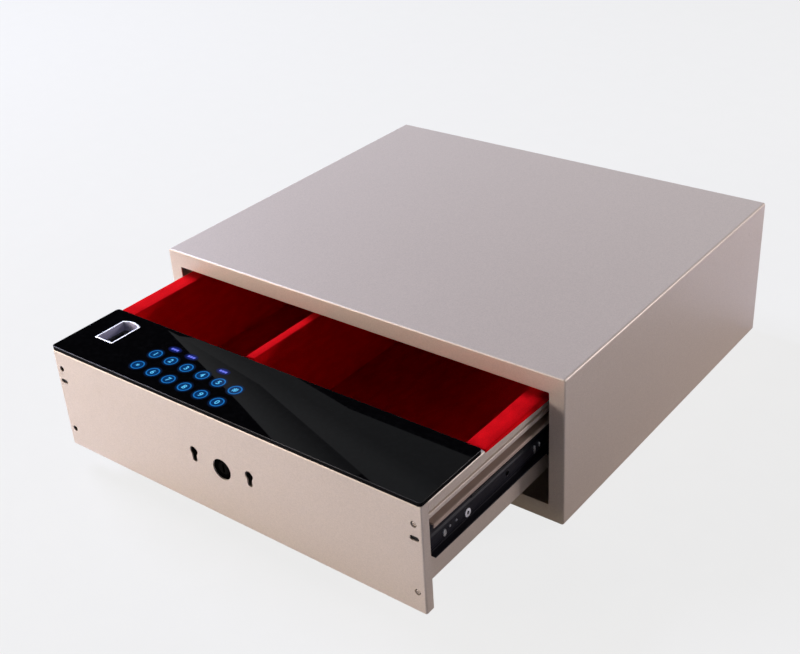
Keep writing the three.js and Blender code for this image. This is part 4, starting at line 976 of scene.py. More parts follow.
@dataclass
class Slide:
    """Ball slide at one side: three nested channels with caged balls, and their fixings."""

    side: int
    name: str
    sheet: float = 1.1
    bend: float = 1.3
    tight_bend: float = 0.5
    lip: float = 0.9
    foot: float = 1.6
    rib_middle: float = 73.8
    rib_half: float = 4.5
    rib_rise: float = 1.5
    rib_slope: float = 2.4
    hole: float = 4.4
    hole_shares: tuple[float, ...] = (0.3, 0.62, 0.9)
    track_lip: float = 3.2
    track_depth: float = 2.6
    end_round: float = 5
    screw_places: Profile = ((-294.9, 71.9), (-146, 73.8), (-32, 73.8))
    screw_radius: float = 3.7
    screw_socket: float = 1.7
    rivet_places: Profile = ((-309.5, 74.4), (-317.9, 74.6))
    rivet_profile: Profile = ((0, 0.7), (0.7, 0.6), (1.15, 0.3), (1.3, -0.1), (0, -0.1))
    tab_places: Profile = ((-325.6, 73.4), (-199.3, 73.3), (-192.1, 74.3))
    tab_sizes: Profile = ((1.7, 3.4), (0.9, 3.9), (0.8, 2.2))
    tab_near: Profile = ((-0.6, -1), (0.4, -0.9), (1, -0.4), (1, 0.3))
    tab_far: Profile = ((0.5, 1), (-0.5, 1), (-1, 0.5), (-1, -0.4))
    tab_rise: float = 1.2
    lever_y: Point = (-288, -214)
    lever_z: Point = (80.6, 83.4)
    lever_rise: float = 0.9
    lever_round: float = 1.2
    bite: float = 0.05

    def build(self) -> None:
        """Build each member with its fixings, and dress the caged balls."""
        self.build_outer("cabinet_member", Body.CASE)
        self.build_outer("intermediate_member", Body.SLIDE_STAGE)
        self.build_drawer_member()
        self.build_fixings()
        self.build_release_lever()
        dressed(ZINC, f"ball_cage_outer_{self.name}", f"ball_cage_inner_{self.name}")

    def holes(self, node: str, z: float) -> Shape:
        """Cutter for the fixing holes through a member's web.

        Args:
            node: The right-hand member's node.
            z: Height of the holes.

        Returns:
            The cutter.
        """
        low, high = span(node)
        cut = Shape()
        for share in self.hole_shares:
            y = low.y + share * (high.y - low.y)
            cut.rod(Axis.X, (y, z), self.hole / 2, low.x - 2, high.x + 2, 24)
        return cut.on_side(self.side)

    def build_outer(self, node: str, body: Body) -> None:
        """Cabinet or intermediate member: a channel open to the drawer with inward lips.

        Args:
            node: Start of the member's node name.
            body: The body that it rides on.
        """
        low, high = span(f"{node}_right")
        z, half = (low.z + high.z) / 2, (high.z - low.z) / 2
        lip = half - self.sheet - self.lip
        ends = ((low.x, -lip), (low.x, -half), (high.x, -half), (high.x, half), (low.x, half), (low.x, lip))
        shape = Shape().strip([(x, z + rise) for x, rise in ends], (low.y, high.y), (self.bend,), -1)
        full_name, cuts = f"{node}_{self.name}", (self.holes(f"{node}_right", z),)
        piece = Piece(f"{full_name}_formed", BLACK_COAT, (full_name,), body, self.sheet, cuts)
        piece.edge, piece.edge_steps = 0.15, 1
        piece.build(shape.on_side(self.side))

    def build_drawer_member(self) -> None:
        """Drawer member: a channel open to the case, with a pressed rib along its web."""
        low, high = span("drawer_member_right")
        top, bottom, seam = high.z - self.lip, low.z + self.lip, high.z - self.lip - self.track_depth
        rib_low, rib_high = self.rib_middle - self.rib_half, self.rib_middle + self.rib_half
        rib_x = low.x + self.rib_rise
        web = [(low.x, seam), (low.x, rib_high + self.rib_slope), (rib_x, rib_high), (rib_x, rib_low)]
        web += [(low.x, rib_low - self.rib_slope), (low.x, bottom)]
        web += [(high.x, bottom), (high.x, bottom + self.foot)]
        track = [(high.x, top - self.track_lip), (high.x, top), (low.x, top), (low.x, seam)]
        web_bends = (*(self.tight_bend,) * 4, self.bend, self.bend)
        for part, line, bends, out, finish, nodes in (
            ("web", web, web_bends, -1, BLACK_COAT, (f"drawer_member_{self.name}",)),
            ("track", track, (self.bend,), 1, TRACK_STEEL, ()),
        ):
            shape = Shape().strip(line, (low.y, high.y), bends, out, 4)
            keep = Shape().box((low.x - 5, low.y, low.z - 1), (high.x + 5, high.y, high.z + 1))
            keep.round_edges(along(Axis.X), self.end_round, 6)
            piece = Piece(f"drawer_member_{part}_{self.name}", finish, nodes, edge=0.12, edge_steps=1)
            piece.sheet, piece.keep = self.sheet, (keep.on_side(self.side),)
            piece.cuts = (self.holes("drawer_member_right", self.rib_middle),)
            piece.build(shape.on_side(self.side))

    def build_fixings(self) -> None:
        """Ring-headed screws and rivets on the rib of the drawer member; a near-black disc in each screw
        head paints the shade in its socket.
        """
        face = span("drawer_member_right")[0].x + self.rib_rise + self.sheet - self.bite
        side, wide, narrow = self.side, self.screw_radius, self.screw_socket
        pan = [(narrow, 0.1), (narrow, 0.8), (0.93 * wide, 0.8), (wide, 0.6), (wide, -0.1)]
        sockets = Shape()
        for place in self.screw_places:
            depth = sorted((side * (face - 0.1), side * (face + 0.3)))
            sockets.rod(Axis.X, place, narrow + self.bite, *depth, 24)
        places = [((side * face, *place), (side, 0, 0)) for place in self.screw_places + self.rivet_places]
        count = len(self.screw_places)
        turned_pieces(Piece(f"slide_screws_{self.name}", NICKEL), pan, places[:count])
        # Near-black discs are painted shade in the screw sockets.
        Piece(f"slide_screw_socket_shade_{self.name}", SHADE_BLACK_ZINC, edge=0.1).build(sockets)
        turned_pieces(Piece(f"slide_rivets_{self.name}", DULL_ZINC), self.rivet_profile, places[count:], 16)

    def build_release_lever(self) -> None:
        """Thin black release lever above the rib, and the bent tabs that it works against."""
        web = span("drawer_member_right")[0].x + self.sheet
        rib = web + self.rib_rise
        (near, far), (bottom, top) = self.lever_y, self.lever_z
        lever = Shape().box((web - self.bite, near, bottom), (web + self.lever_rise, far, top))
        lever.round_edges(along(Axis.X), self.lever_round)
        tabs = Shape()
        for (y, z), (half, reach) in zip(self.tab_places, self.tab_sizes):
            bow = [(y + a * half, z + b * reach) for a, b in self.tab_near + self.tab_far]
            tabs.prism(Axis.X, bow, rib - self.bite, rib + self.tab_rise)
        Piece(f"release_lever_{self.name}", BLACK_PLASTIC, edge=0.3).build(lever.on_side(self.side))
        Piece(f"slide_tabs_{self.name}", ZINC, edge=0.15, edge_steps=1).build(tabs.on_side(self.side))


@dataclass
class DrawerFront:
    """Drawer front: a steel pan with its lock hole, hanging slots and end holes."""

    sheet: float = 1.5
    bend: float = 1.8
    key_x: float = -2
    key_height: float = 51.9
    key_radius: float = 10
    hanger_spacing: float = 63.4
    hanger_height: float = 58.4
    hanger_head: float = 8.6
    hanger_neck: float = 5.4
    hanger_drop: float = 8
    end_inset: float = 7.7
    end_hole: float = 5.5
    end_heights: Point = (19.6, 84.2)
    slot_height: float = 71.1
    slot_length: float = 8.6
    slot_width: float = 4.2
    roll: float = 2.6
    insert_profile: Profile = ((1.9, 0.2), (1.9, 3.2), (3.9, 3.2), (3.9, 0.2), (1.9, 0.2))
    screw_profile: Profile = ((0, 1.0), (1.5, 1.0), (1.9, 0.6), (1.9, -0.6), (0, -0.6))
    # Black plugs in the round holes' bores and black caps behind the end slots, as painted shade.
    shade_plug_radius: float = 1.95
    shade_plug_y: Point = (1.4, 2.4)
    shade_cap_half: Point = (5.6, 3.4)
    shade_cap_y: Point = (0.05, 2.0)
    recess_reach: float = 1.2
    recess_half: float = 0.35
    recess_y: Point = (-2.0, -0.3)

    def build(self) -> None:
        """Build the panel and what closes its end holes."""
        self.build_panel()
        self.build_inserts()

    def hanger_x(self, side: int) -> float:
        """Middle of the hanging slot at one side of the lock hole."""
        return self.key_x + side * self.hanger_spacing / 2

    def end_places(self, side: int, *heights: float) -> list[Point]:
        """Sketch places in an end's column of holes, at heights over the panel's foot."""
        low, high = span("front_panel")
        return [(side * (high.x - self.end_inset), low.z + height) for height in heights]

    def build_panel(self) -> None:
        """Pan with rounded bends at the sides and the bottom, and an open top edge."""
        low, high = span("front_panel")
        pan, deep = Shape().box(low, high), along(Axis.Y)

        def bent(mid: Vector, way: Vector) -> bool:
            """Whether an edge is round the face or at a bottom corner."""
            return mid.y < low.y + NEAR or (deep(mid, way) and mid.z < low.z + NEAR)

        pan.round_edges(bent, self.bend, 5).bm.normal_update()
        back = [face for face in pan.bm.faces if face.normal.y > 0.9]
        bmesh.ops.delete(pan.bm, geom=back, context="FACES")
        top = high.z - self.sheet - 0.1
        roll = Shape().bar(high.x - self.sheet - 0.1, (low.y + self.roll, high.y + 1), (top, high.z + 1))
        depth = (low.y - 3, low.y + 4)
        head_z, foot = low.z + self.hanger_height, low.z + self.hanger_height - self.hanger_drop
        rounds = Shape().rod(Axis.Y, (self.key_x, low.z + self.key_height), self.key_radius, *depth, 64)
        slots = Shape()
        neck, long, wide = self.hanger_neck / 2, self.slot_length / 2, self.slot_width / 2
        for side in (-1, 1):
            x = self.hanger_x(side)
            rounds.rod(Axis.Y, (x, head_z), self.hanger_head / 2, *depth, 40)
            for place in self.end_places(side, *self.end_heights):
                rounds.rod(Axis.Y, place, self.end_hole / 2, *depth)
            slots.box((x - neck, depth[0], foot - neck), (x + neck, depth[1], head_z - 1))
            end_x, end_z = self.end_places(side, self.slot_height)[0]
            slots.box((end_x - long, depth[0], end_z - wide), (end_x + long, depth[1], end_z + wide))
        ends = high.x - self.end_inset - self.slot_length

        def slot_end(mid: Vector, way: Vector) -> bool:
            """Whether an edge is a corner of an end slot or of a hanging slot's foot."""
            return deep(mid, way) and (abs(mid.x) > ends or mid.z < foot)

        slots.round_edges(slot_end, neck - 0.02, 6)
        piece = Piece("drawer_front_pan", CHAMPAGNE, ("front_panel",), sheet=self.sheet, edge=0.3)
        piece.cuts = (rounds, slots, roll)
        piece.build(pan)

    def build_inserts(self) -> None:
        """Near-black threaded inserts with black plugs behind the round end holes, black caps behind the
        end slots, and a screw in each round hole on the right; the inserts, plugs and caps are painted
        shade that makes the holes and slots read dark.
        """
        back = span("front_panel")[0].y + self.sheet
        shade_plugs, screws, recess = Shape(), Shape(), Shape()
        places = []
        for side in (-1, 1):
            for x, z in self.end_places(side, *self.end_heights):
                places.append(((x, back - 0.1, z), (0, 1, 0)))
                shade_plugs.rod(Axis.Y, (x, z), self.shade_plug_radius, *(back + y for y in self.shade_plug_y), 20)
            x, z = self.end_places(side, self.slot_height)[0]
            (half_x, half_z), (near, far) = self.shade_cap_half, self.shade_cap_y
            shade_plugs.box((x - half_x, back + near, z - half_z), (x + half_x, back + far, z + half_z))
        for x, z in self.end_places(1, *self.end_heights):
            screws.turned(self.screw_profile, (x, back, z), (0, -1, 0), 24)
            star = cross((x, z), self.recess_reach, self.recess_half)
            recess.prism(Axis.Y, star, *(back + y for y in self.recess_y))
        # The inserts' near-black zinc and the black plugs and caps paint the shade inside the holes and
        # slots.
        turned_pieces(Piece("front_inserts_shade_black", SHADE_BLACK_ZINC), self.insert_profile, places)
        Piece("front_hole_shade_caps", BLACK_PLASTIC).build(shade_plugs)
        Piece("front_screws", CHAMPAGNE, cuts=(recess,), edge=0.1).build(screws)


@dataclass
class DrawerTray:
    """Drawer trough of one bent sheet, with lips over the slides and end walls."""

    sheet: float = 1.2
    bend: float = 1.8
    tight_bend: float = 0.5
    inner_x: float = 196
    front_half: float = 188
    front_height: float = 70.8
    lip_bottom: float = 102.6
    groove_low: float = 106.4
    groove_high: float = 109.2
    groove_depth: float = 2.2
    side_setback: float = 9.4
    clearance: float = 2.3
    bolt_way: float = 6.8
    key_way: float = 16.3
    hanger_room: float = 4
    back_overlap: float = 0.5
    back_drop: float = 0.3

    def build(self) -> None:
        """Build the trough with the ways for the bolts, and its end walls."""
        low, high = span("drawer_tray")
        groove_x = high.x - self.groove_depth
        right = [(high.x, self.lip_bottom), (high.x, self.groove_low), (groove_x, self.groove_low + 0.5)]
        right += [(groove_x, self.groove_high), (high.x, self.groove_high), (high.x, high.z)]
        right += [(self.inner_x, high.z), (self.inner_x, low.z + self.sheet)]
        tight = (self.tight_bend,) * 4
        side_y = span("front_panel")[0].y + self.side_setback
        line = right + [(-x, z) for x, z in reversed(right)]
        trough = Shape().strip(line, (side_y, high.y), (*tight, *(self.bend,) * 6, *tight), 1)
        bolt, ways = middle("bolt_bush_right"), Shape()
        for side in (-1, 1):
            ways.rod(Axis.Z, (side * bolt.x, bolt.y), self.bolt_way, low.z - 3, low.z + 4)
        Piece("drawer_trough", CHAMPAGNE, ("drawer_tray",), sheet=self.sheet, cuts=(ways,)).build(trough)
        self.build_walls(low, high, side_y)

    def build_walls(self, low: Vector, high: Vector, side_y: float) -> None:
        """Front wall with its apron, and the back wall.

        Args:
            low: Lowest corner of the tray.
            high: Highest corner of the tray.
            side_y: Where its sides start.
        """
        floor, back = (low.z, low.z + self.sheet), (high.y - self.sheet, high.y)
        face_y, face_z = (low.y, low.y + self.sheet), (low.z, low.z + self.front_height)
        front = Shape().bar(self.front_half, face_y, face_z)
        key, face = middle("key_cylinder"), DrawerFront()
        ways = Shape().rod(Axis.Y, (key.x, key.z), self.key_way, low.y - 2, low.y + 3, 48)
        z = span("front_panel")[0].z + face.hanger_height - face.hanger_drop / 2
        half = face.hanger_head / 2 + self.clearance
        rise = half + self.hanger_room
        for side in (-1, 1):
            x = face.hanger_x(side)
            ways.box((x - half, low.y - 2, z - rise), (x + half, low.y + 3, z + rise))
        Piece("drawer_front_wall", CHAMPAGNE, cuts=(ways,)).build(front)
        rear = Shape().bar(self.front_half, (low.y + self.sheet, side_y), floor)
        rear.bar(self.inner_x + self.back_overlap, back, (floor[1], high.z - self.back_drop))
        Piece("drawer_back_wall", CHAMPAGNE, edge=0.15).build(rear)


class Legend(Enum):
    """What the keys show, in the order of their columns from the left."""

    REAR = "12345#"
    FRONT = "*67890"


@dataclass
class ControlDeck:
    """Deck over the lock: painted deck, black glass with lit keys, and the fingerprint well."""

    sheet: float = 1.2
    bend: float = 1.8
    skirt: float = 9.5
    skirt_setback: float = 9.2
    board_gap: float = 0.2
    well_gap: float = 0.4
    flange_half: float = 203.3
    apron_half: float = 188
    apron_drop: float = 10
    wall_half: float = 195.8
    foot_half: float = 194
    foot: float = 1.8
    door_rim: float = 1.8
    glass_round: float = 3
    polished: float = 0.8
    well_x: float = -171.6
    well_width: float = 22.6
    well_setback: float = 31.5
    well_length: float = 33.5
    well_bulge: float = 3.4
    rim: float = 1.3
    rim_height: float = 0.6
    window_width: float = 18.2
    window_length: float = 29
    surround: Point = (-1.4, -0.2)
    first_key: float = -112.6
    key_pitch: float = 20.1
    rear_row: float = 40.4
    front_row: float = 19.3
    row_slope: float = -0.044
    ring_radius: float = 6.2
    ring_width: float = 1.15
    halo_share: float = 1.35
    digit_size: float = 7.4
    digit_weight: float = 0.12
    marks: Profile = ((-103.2, 54.7), (-81.6, 53.6), (-41.1, 51.5))
    mark_halo: Point = (8, 4.6)
    dash: Point = (1.2, 1.15)
    dash_pitch: float = 2.9
    halo_level: float = 0.02
    spot_level: float = 0.03
    ring_level: float = 0.06
    digit_level: float = 0.07

    def build(self) -> None:
        """Build the deck, the glass, the well and the lit legends."""
        self.build_deck()
        self.build_glass()
        self.build_bezel()
        self.build_legends()
        dressed(GLASS_EDGE, "fingerprint_sensor")
        dressed(SOLDER_MASK, "touch_board", "control_board")

    def well(self, grow: float) -> list[Point]:
        """Outline of the well, grown all round."""
        near, half = span("glass_panel")[0].y + self.well_setback, self.well_width / 2 + grow
        return bulged(self.well_x, half, (near - grow, near + self.well_length + grow), self.well_bulge)

    def build_deck(self) -> None:
        """Painted deck with side skirts, front flange and the partition behind the lock."""
        low, high = span("control_deck")
        skirt_y, inside = span("front_panel")[0].y + self.skirt_setback, high.z - self.sheet
        x, edge = high.x, high.z - self.skirt
        line = [(x, edge), (x, high.z), (-x, high.z), (-x, edge)]
        deck = Shape().strip(line, (skirt_y, high.y), (self.bend,), 1)
        reach = (high.z - 5, high.z + 3)
        ways = through(Axis.Z, "touch_board", self.board_gap, *reach)
        ways.prism(Axis.Z, self.well(self.well_gap), *reach)
        plate = Piece("control_deck_plate", CHAMPAGNE, ("control_deck",), sheet=self.sheet, cuts=(ways,))
        plate.build(deck)
        flange = Shape().bar(self.flange_half, (low.y + self.sheet, skirt_y), (inside, high.z))
        flange.bar(self.apron_half, (low.y, low.y + self.sheet), (high.z - self.apron_drop, high.z))
        ways = through(Axis.Z, "touch_board", self.board_gap, *reach)
        Piece("control_deck_flange", CHAMPAGNE, cuts=(ways,), edge=0.15, edge_steps=1).build(flange)
        rear = (high.y - self.sheet, high.y)
        wall = Shape().bar(self.wall_half, rear, (low.z + self.foot, inside))
        wall.bar(self.foot_half, rear, (low.z, low.z + self.foot))
        doorway = through(Axis.Y, "battery_door", -self.door_rim, high.y - 4, high.y + 4)
        Piece("control_deck_partition", CHAMPAGNE, cuts=(doorway,), edge=0).build(wall)

    def build_glass(self) -> None:
        """Glass sheet with polished chamfers and the way for the well."""
        low, high = span("glass_panel")
        seam = high.z - self.polished
        for name, start, end, finish, nodes, edge in (
            ("keypad_glass", seam, high.z, BLACK_GLASS, ("glass_panel",), 0.2),
            ("keypad_glass_edge", low.z, seam, GLASS_EDGE, (), 0.1),
        ):
            sheet = Shape().box((low.x, low.y, start), (high.x, high.y, end))
            sheet.round_edges(along(Axis.Z), self.glass_round, 6)
            way = Shape().prism(Axis.Z, self.well(0.2), start - 2, end + 2)
            Piece(name, finish, nodes, cuts=(way,), edge=edge, edge_steps=3).build(sheet)

    def build_bezel(self) -> None:
        """Plated well: a bright rim and steep sides down to the reader's window, the sides in a darker,
        lilac copy of the plating that paints the shade inside the well.
        """
        low, high = span("fingerprint_bezel")
        y, top = middle("fingerprint_sensor").y, span("fingerprint_sensor")[1].z
        ends = (y - self.window_length / 2, y + self.window_length / 2)
        window = bulged(self.well_x, self.window_width / 2, ends, self.well_bulge / 2)
        floor, seat = top + 0.15, high.z - self.rim_height
        scoop, pairs = Shape(), []
        for outline, z in ((window, floor), (self.well(-self.rim), seat + 0.01)):
            verts = [scoop.bm.verts.new((*place, z)) for place in outline]
            scoop.bm.faces.new(verts)
            pairs += zip(verts, verts[1:] + verts[:1])
        bmesh.ops.bridge_loops(scoop.bm, edges=[scoop.bm.edges.get(pair) for pair in pairs])
        bmesh.ops.recalc_face_normals(scoop.bm, faces=scoop.bm.faces[:])
        throat = Shape().prism(Axis.Z, window, low.z - 1, floor + 0.2)
        sides = Shape().prism(Axis.Z, self.well(0), low.z, seat)
        well = Piece("fingerprint_well", SHADED_PLATING, ("fingerprint_bezel",), edge=0, smooth=30)
        well.cuts = (scoop, throat)
        well.build(sides)
        rim = Shape().prism(Axis.Z, self.well(0), seat, high.z)
        way = Shape().prism(Axis.Z, self.well(-self.rim), seat - 1, high.z + 1)
        Piece("fingerprint_rim", SATIN_CHROME, cuts=(way,), edge=0.22, edge_steps=3).build(rim)
        surround = Shape().prism(Axis.Z, window, *(top + level for level in self.surround))
        way = through(Axis.Z, "fingerprint_sensor", 0.05, low.z, high.z)
        Piece("fingerprint_surround", BLACK_PLASTIC, cuts=(way,), edge=0.15).build(surround)

    def keys(self) -> list[tuple[str, float, float]]:
        """Each key's sign and its middle on the glass.

        Returns:
            The keys in reading order.
        """
        near = span("glass_panel")[0].y
        placed = []
        for legend, row in ((Legend.REAR, self.rear_row), (Legend.FRONT, self.front_row)):
            for i, sign in enumerate(legend.value):
                across = i * self.key_pitch
                placed.append((sign, self.first_key + across, near + row + self.row_slope * across))
        return placed

    def build_legends(self) -> None:
        """Lit rings, digits and marks, each with its soft halo, as a print on the glass."""
        low, high = span("glass_panel")
        top, halo = high.z, self.ring_radius * self.halo_share
        rings, halos, spots, dashes = Shape(), Shape(), Shape(), Shape()
        for _, x, y in self.keys():
            ring = self.disc(rings, (x, y, top + self.ring_level), (self.ring_radius,) * 2, 40)
            size = {"thickness": self.ring_width, "use_boundary": True, "use_even_offset": True}
            bmesh.ops.inset_region(rings.bm, faces=[ring], **size)
            bmesh.ops.delete(rings.bm, geom=[ring], context="FACES")
            fan = self.disc(halos, (x, y, top + self.halo_level), (halo, halo))
            bmesh.ops.poke(halos.bm, faces=[fan])
        (half_x, half_y), z = self.dash, top + self.ring_level
        for x, offset in self.marks:
            y = low.y + offset
            fan = self.disc(spots, (x, y, top + self.spot_level), self.mark_halo)
            bmesh.ops.poke(spots.bm, faces=[fan])
            for shift in (-self.dash_pitch, 0, self.dash_pitch):
                dashes.box((x + shift - half_x, y - half_y, z - 0.02), (x + shift + half_x, y + half_y, z))
        self.lit("key_rings", rings, KEY_RING)
        self.lit("key_halos", halos, KEY_HALO)
        self.lit("mark_halos", spots, MARK_HALO)
        self.build_digits(top + self.digit_level)
        self.lit("indicator_marks", dashes, MARK)

    @staticmethod
    def disc(shape: Shape, centre: Corner, radii: Point, sides: int = 32) -> bmesh.types.BMFace:
        """Add a flat round or oval face.

        Args:
            shape: Where it is added.
            centre: Its middle.
            radii: Its half width and half depth.
            sides: Number of its edges.

        Returns:
            The face.
        """
        place = Matrix.Translation(centre) @ Matrix.Diagonal((*radii, 1, 1))
        made = bmesh.ops.create_circle(shape.bm, cap_ends=True, segments=sides, radius=1, matrix=place)
        return made["verts"][0].link_faces[0]

    @staticmethod
    def lit(name: str, shape: Shape, finish: Lamp) -> None:
        """Finish a flat lit shape, with its glow at the middle of each fan of faces.

        Args:
            name: Name of the piece.
            shape: The flat shape, which is used up.
            finish: Its light.
        """
        shape.bm.normal_update()
        for face in shape.bm.faces:
            if face.normal.z < 0:
                face.normal_flip()
        values = [float(len(vert.link_faces) > 8) for vert in shape.bm.verts]
        obj = show(shape.to_mesh(name), name)
        obj.data.attributes.new("glow", "FLOAT", "POINT").data.foreach_set("value", values)
        finished(obj, finish, Body.DRAWER)

    def build_digits(self, z: float) -> None:
        """Digits and signs inside the rings, from the plain built-in face.

        Args:
            z: Height of the print.
        """
        joined = Shape()
        look = {"align_x": "CENTER", "align_y": "CENTER", "offset": self.digit_weight}
        for sign, x, y in self.keys():
            curve = configured(bpy.data.curves.new("sign", "FONT"), size=self.digit_size, **look)
            curve.body = sign
            holder = show(curve, "sign")
            mesh = evaluated(holder)
            bpy.data.objects.remove(holder, do_unlink=True)
            xs, ys = ([vert.co[i] for vert in mesh.vertices] for i in range(2))
            shift = Vector((x - (min(xs) + max(xs)) / 2, y - (min(ys) + max(ys)) / 2, z))
            mesh.transform(Matrix.Translation(shift))
            joined.bm.from_mesh(mesh)
            bpy.data.meshes.remove(mesh)
        self.lit("key_digits", joined, KEY_DIGIT)


@dataclass
class FeltLining:
    """Felt-covered boards that line the drawer, with the felt turned over the drawer's edge."""

    step: float = 9
    swell: float = 0.22
    waves: Profile = ((22, 0.6), (7, 0.4))
    round_edge: float = 1.1
    front_round: float = 0.7
    fill: float = 0.95
    tuck: float = 4
    droop: float = 3
    inner_x: float = 195.8
    corner: float = 1.8
    over: float = 0.2
    under: float = 0.8
    notch_x: float = 197.4
    back_wall: float = 1.4
    door_gap: float = 0.4

    def build(self) -> None:
        """Build each lined board from its solid's box."""
        for side, name in SIDES:
            self.build_side(side, name)
        self.build_back()
        for node, name in (("lining_floor", "felt_floor"), ("compartment_divider", "felt_divider")):
            self.soften(name, Shape().box(*span(node)), node)
        low, high = span("lining_front")
        way = through(Axis.Y, "battery_door", self.door_gap, low.y - 2, high.y + 2)
        sheet = Shape().box(low, (high.x, high.y, high.z - self.tuck))
        self.soften("felt_front", sheet, "lining_front", (way,), self.front_round)

    def soften(
        self, name: str, shape: Shape, node: str, cuts: Sequence[Shape] = (), edge: float = 0
    ) -> None:
        """Round a board's edges, divide it and let its felt swell a little.

        Args:
            name: Name of the piece.
            shape: The board, which is used up.
            node: The CAD node that it stands for.
            cuts: Shapes to cut out of it.
            edge: Rounding of its edges, where it isn't the usual one.
        """
        piece = Piece(name, RED_FELT, (node,), cuts=cuts, edge_steps=3, smooth=50)
        piece.edge = edge or self.round_edge
        obj = piece.build(shape)
        work = bmesh.new()
        work.from_mesh(obj.data)
        low, high = span(node)
        for way in (Vector((1, 0, 0)), Vector((0, 1, 0)), Vector((0, 0, 1))):
            reach = (high - low).dot(way)
            count = int(reach / self.step)
            for i in range(1, count):
                at = way * (low.dot(way) + reach * i / count) * MM
                every = work.verts[:] + work.edges[:] + work.faces[:]
                bmesh.ops.bisect_plane(work, geom=every, plane_co=at, plane_no=way)
        work.normal_update()
        for vert in work.verts:
            amount = sum(noise.noise(vert.co / (size * MM)) * share for size, share in self.waves)
            vert.co += vert.normal * (amount * self.swell * MM)
        work.to_mesh(obj.data)
        work.free()
        smoothed(obj.data)

    def build_side(self, side: int, name: str) -> None:
        """Side board with its flange over the drawer's lip, which sinks a little inside the case.

        Args:
            side: 1 for right, -1 for left.
            name: Name of the side.
        """
        low, high = span("lining_side_right")
        tray = span("drawer_tray")[1]
        lip_x, inner, lip_z = tray.x + self.over, self.inner_x, tray.z + self.over
        outline = [(low.x, low.z), (inner - self.corner, low.z), (inner, low.z + self.corner)]
        outline += [(inner, lip_z), (lip_x, lip_z), (lip_x, tray.z - self.under)]
        outline += [(high.x, tray.z - self.under), (high.x, high.z), (low.x, high.z)]
        board = Shape().prism(Axis.Y, outline, low.y, high.y)
        rear = high.y - self.back_wall
        notch = Shape().box((low.x - self.over, rear, low.z - 1), (self.notch_x, high.y + 1, lip_z))
        frame_y = span("case_shell")[0].y
        for vert in board.bm.verts:
            if vert.co.y > frame_y and vert.co.x > lip_x - NEAR and vert.co.z < tray.z:
                vert.co.z -= self.droop * (high.y - low.y) / (frame_y - low.y)
        cuts = (notch.on_side(side),)
        self.soften(f"felt_side_{name}", board.on_side(side), f"lining_side_{name}", cuts)

    def build_back(self) -> None:
        """Back board with its flange over the drawer's rear edge."""
        low, high = span("lining_back")
        wall, lip_z = high.y - self.back_wall, span("drawer_tray")[1].z + self.over
        outline = [(low.y, low.z), (wall, low.z), (wall, lip_z)]
        outline += [(high.y, lip_z), (high.y, high.z), (low.y, high.z)]
        self.soften("felt_back", Shape().prism(Axis.X, outline, low.x, high.x), "lining_back")


@dataclass
class LockWork:
    """Lock, drive and batteries inside the drawer's front, mostly hidden by the deck."""

    thumb_width: float = 12
    thumb_radius: float = 3.4
    thumb_out: float = 2.4
    thumb_drop: float = 6

    def build(self) -> None:
        """Dress the mechanism's solids and build the battery door."""
        dressed(ZINC, "lock_frame", "bolt_plate", "guide_stud_right", "guide_stud_left", "key_gear")
        dressed(SATIN_CHROME, "lock_bolt_right", "lock_bolt_left")
        dressed(WHITE_NYLON, "bolt_bush_right", "bolt_bush_left")
        dressed(BLACK_PLASTIC, "gear_motor", "battery_holder")
        dressed(BRASS, "drive_pinion")
        # The key cylinder and key plug are near-black, as painted shade in the lock hole.
        dressed(SHADE_BLACK_ZINC, "key_cylinder")
        dressed(SHADE_BLACK_BRASS, "key_plug")
        dressed(CELL_WRAP, *(f"battery_cell_{i}" for i in range(1, 5)))
        self.build_door()

    def build_door(self) -> None:
        """Battery door with a scooped thumb grip."""
        low, high = span("battery_door")
        x, half = middle("battery_door").x, self.thumb_width / 2
        place = (high.y + self.thumb_out, high.z - self.thumb_drop)
        grip = Shape().rod(Axis.X, place, self.thumb_radius, x - half, x + half, 24)
        piece = Piece("battery_door_cover", BLACK_PLASTIC, ("battery_door",), cuts=(grip,), edge=0.4)
        piece.build(Shape().box(low, high))


# Studio


@dataclass(frozen=True)
class SoftLight:
    """One rectangular soft light, aimed at a point."""

    name: str
    place: Place
    target: Place
    size: Point
    power: float
    color: Color

    def build(self) -> None:
        """Put the light in the scene."""
        data = configured(bpy.data.lights.new(self.name, "AREA"), shape="RECTANGLE")
        configured(data, size=self.size[0], size_y=self.size[1], energy=self.power, color=self.color)
        lamp = show(data, self.name)
        lamp.location = self.place
        aim = Vector(self.target) - Vector(self.place)
        lamp.rotation_euler = aim.to_track_quat("-Z", "Y").to_euler()


@dataclass(frozen=True)
class Card:
    """One studio card that only shows in reflections, with a level that falls off along a way."""

    name: str
    axis: Axis
    depth: float
    outline: Profile
    levels: Point = (0, 0)
    way: Point = (1, 0)
    reach: Point = (0, 1)

    def build(self) -> None:
        """Put the card in the scene, unseen by the camera and by soft light."""
        shape = Shape()
        places = [self.axis.place(a, b, self.depth) for a, b in self.outline]
        shape.bm.faces.new([shape.bm.verts.new(place / MM) for place in places])
        card = show(shape.to_mesh(self.name), self.name)
        shader = Shader(self.name)
        across = shader.node("ShaderNodeVectorMath", operation="DOT_PRODUCT")
        shader.wire(shader.place, across.inputs[0])
        shader.wire((*self.way, 0), across.inputs[1])
        shader.surface(
            Base_Color=(0.0, 0.0, 0.0, 1),
            Specular_IOR_Level=0.0,
            Emission_Color=shader.blend(shader.noise(2, 1), (0.9, 0.95, 1.0), (1.0, 1.0, 1.0)),
            Emission_Strength=shader.spread(across.outputs["Value"], *self.levels, *self.reach),
        )
        card.data.materials.append(shader.owner)
        configured(card, visible_camera=False, visible_diffuse=False, visible_shadow=False)


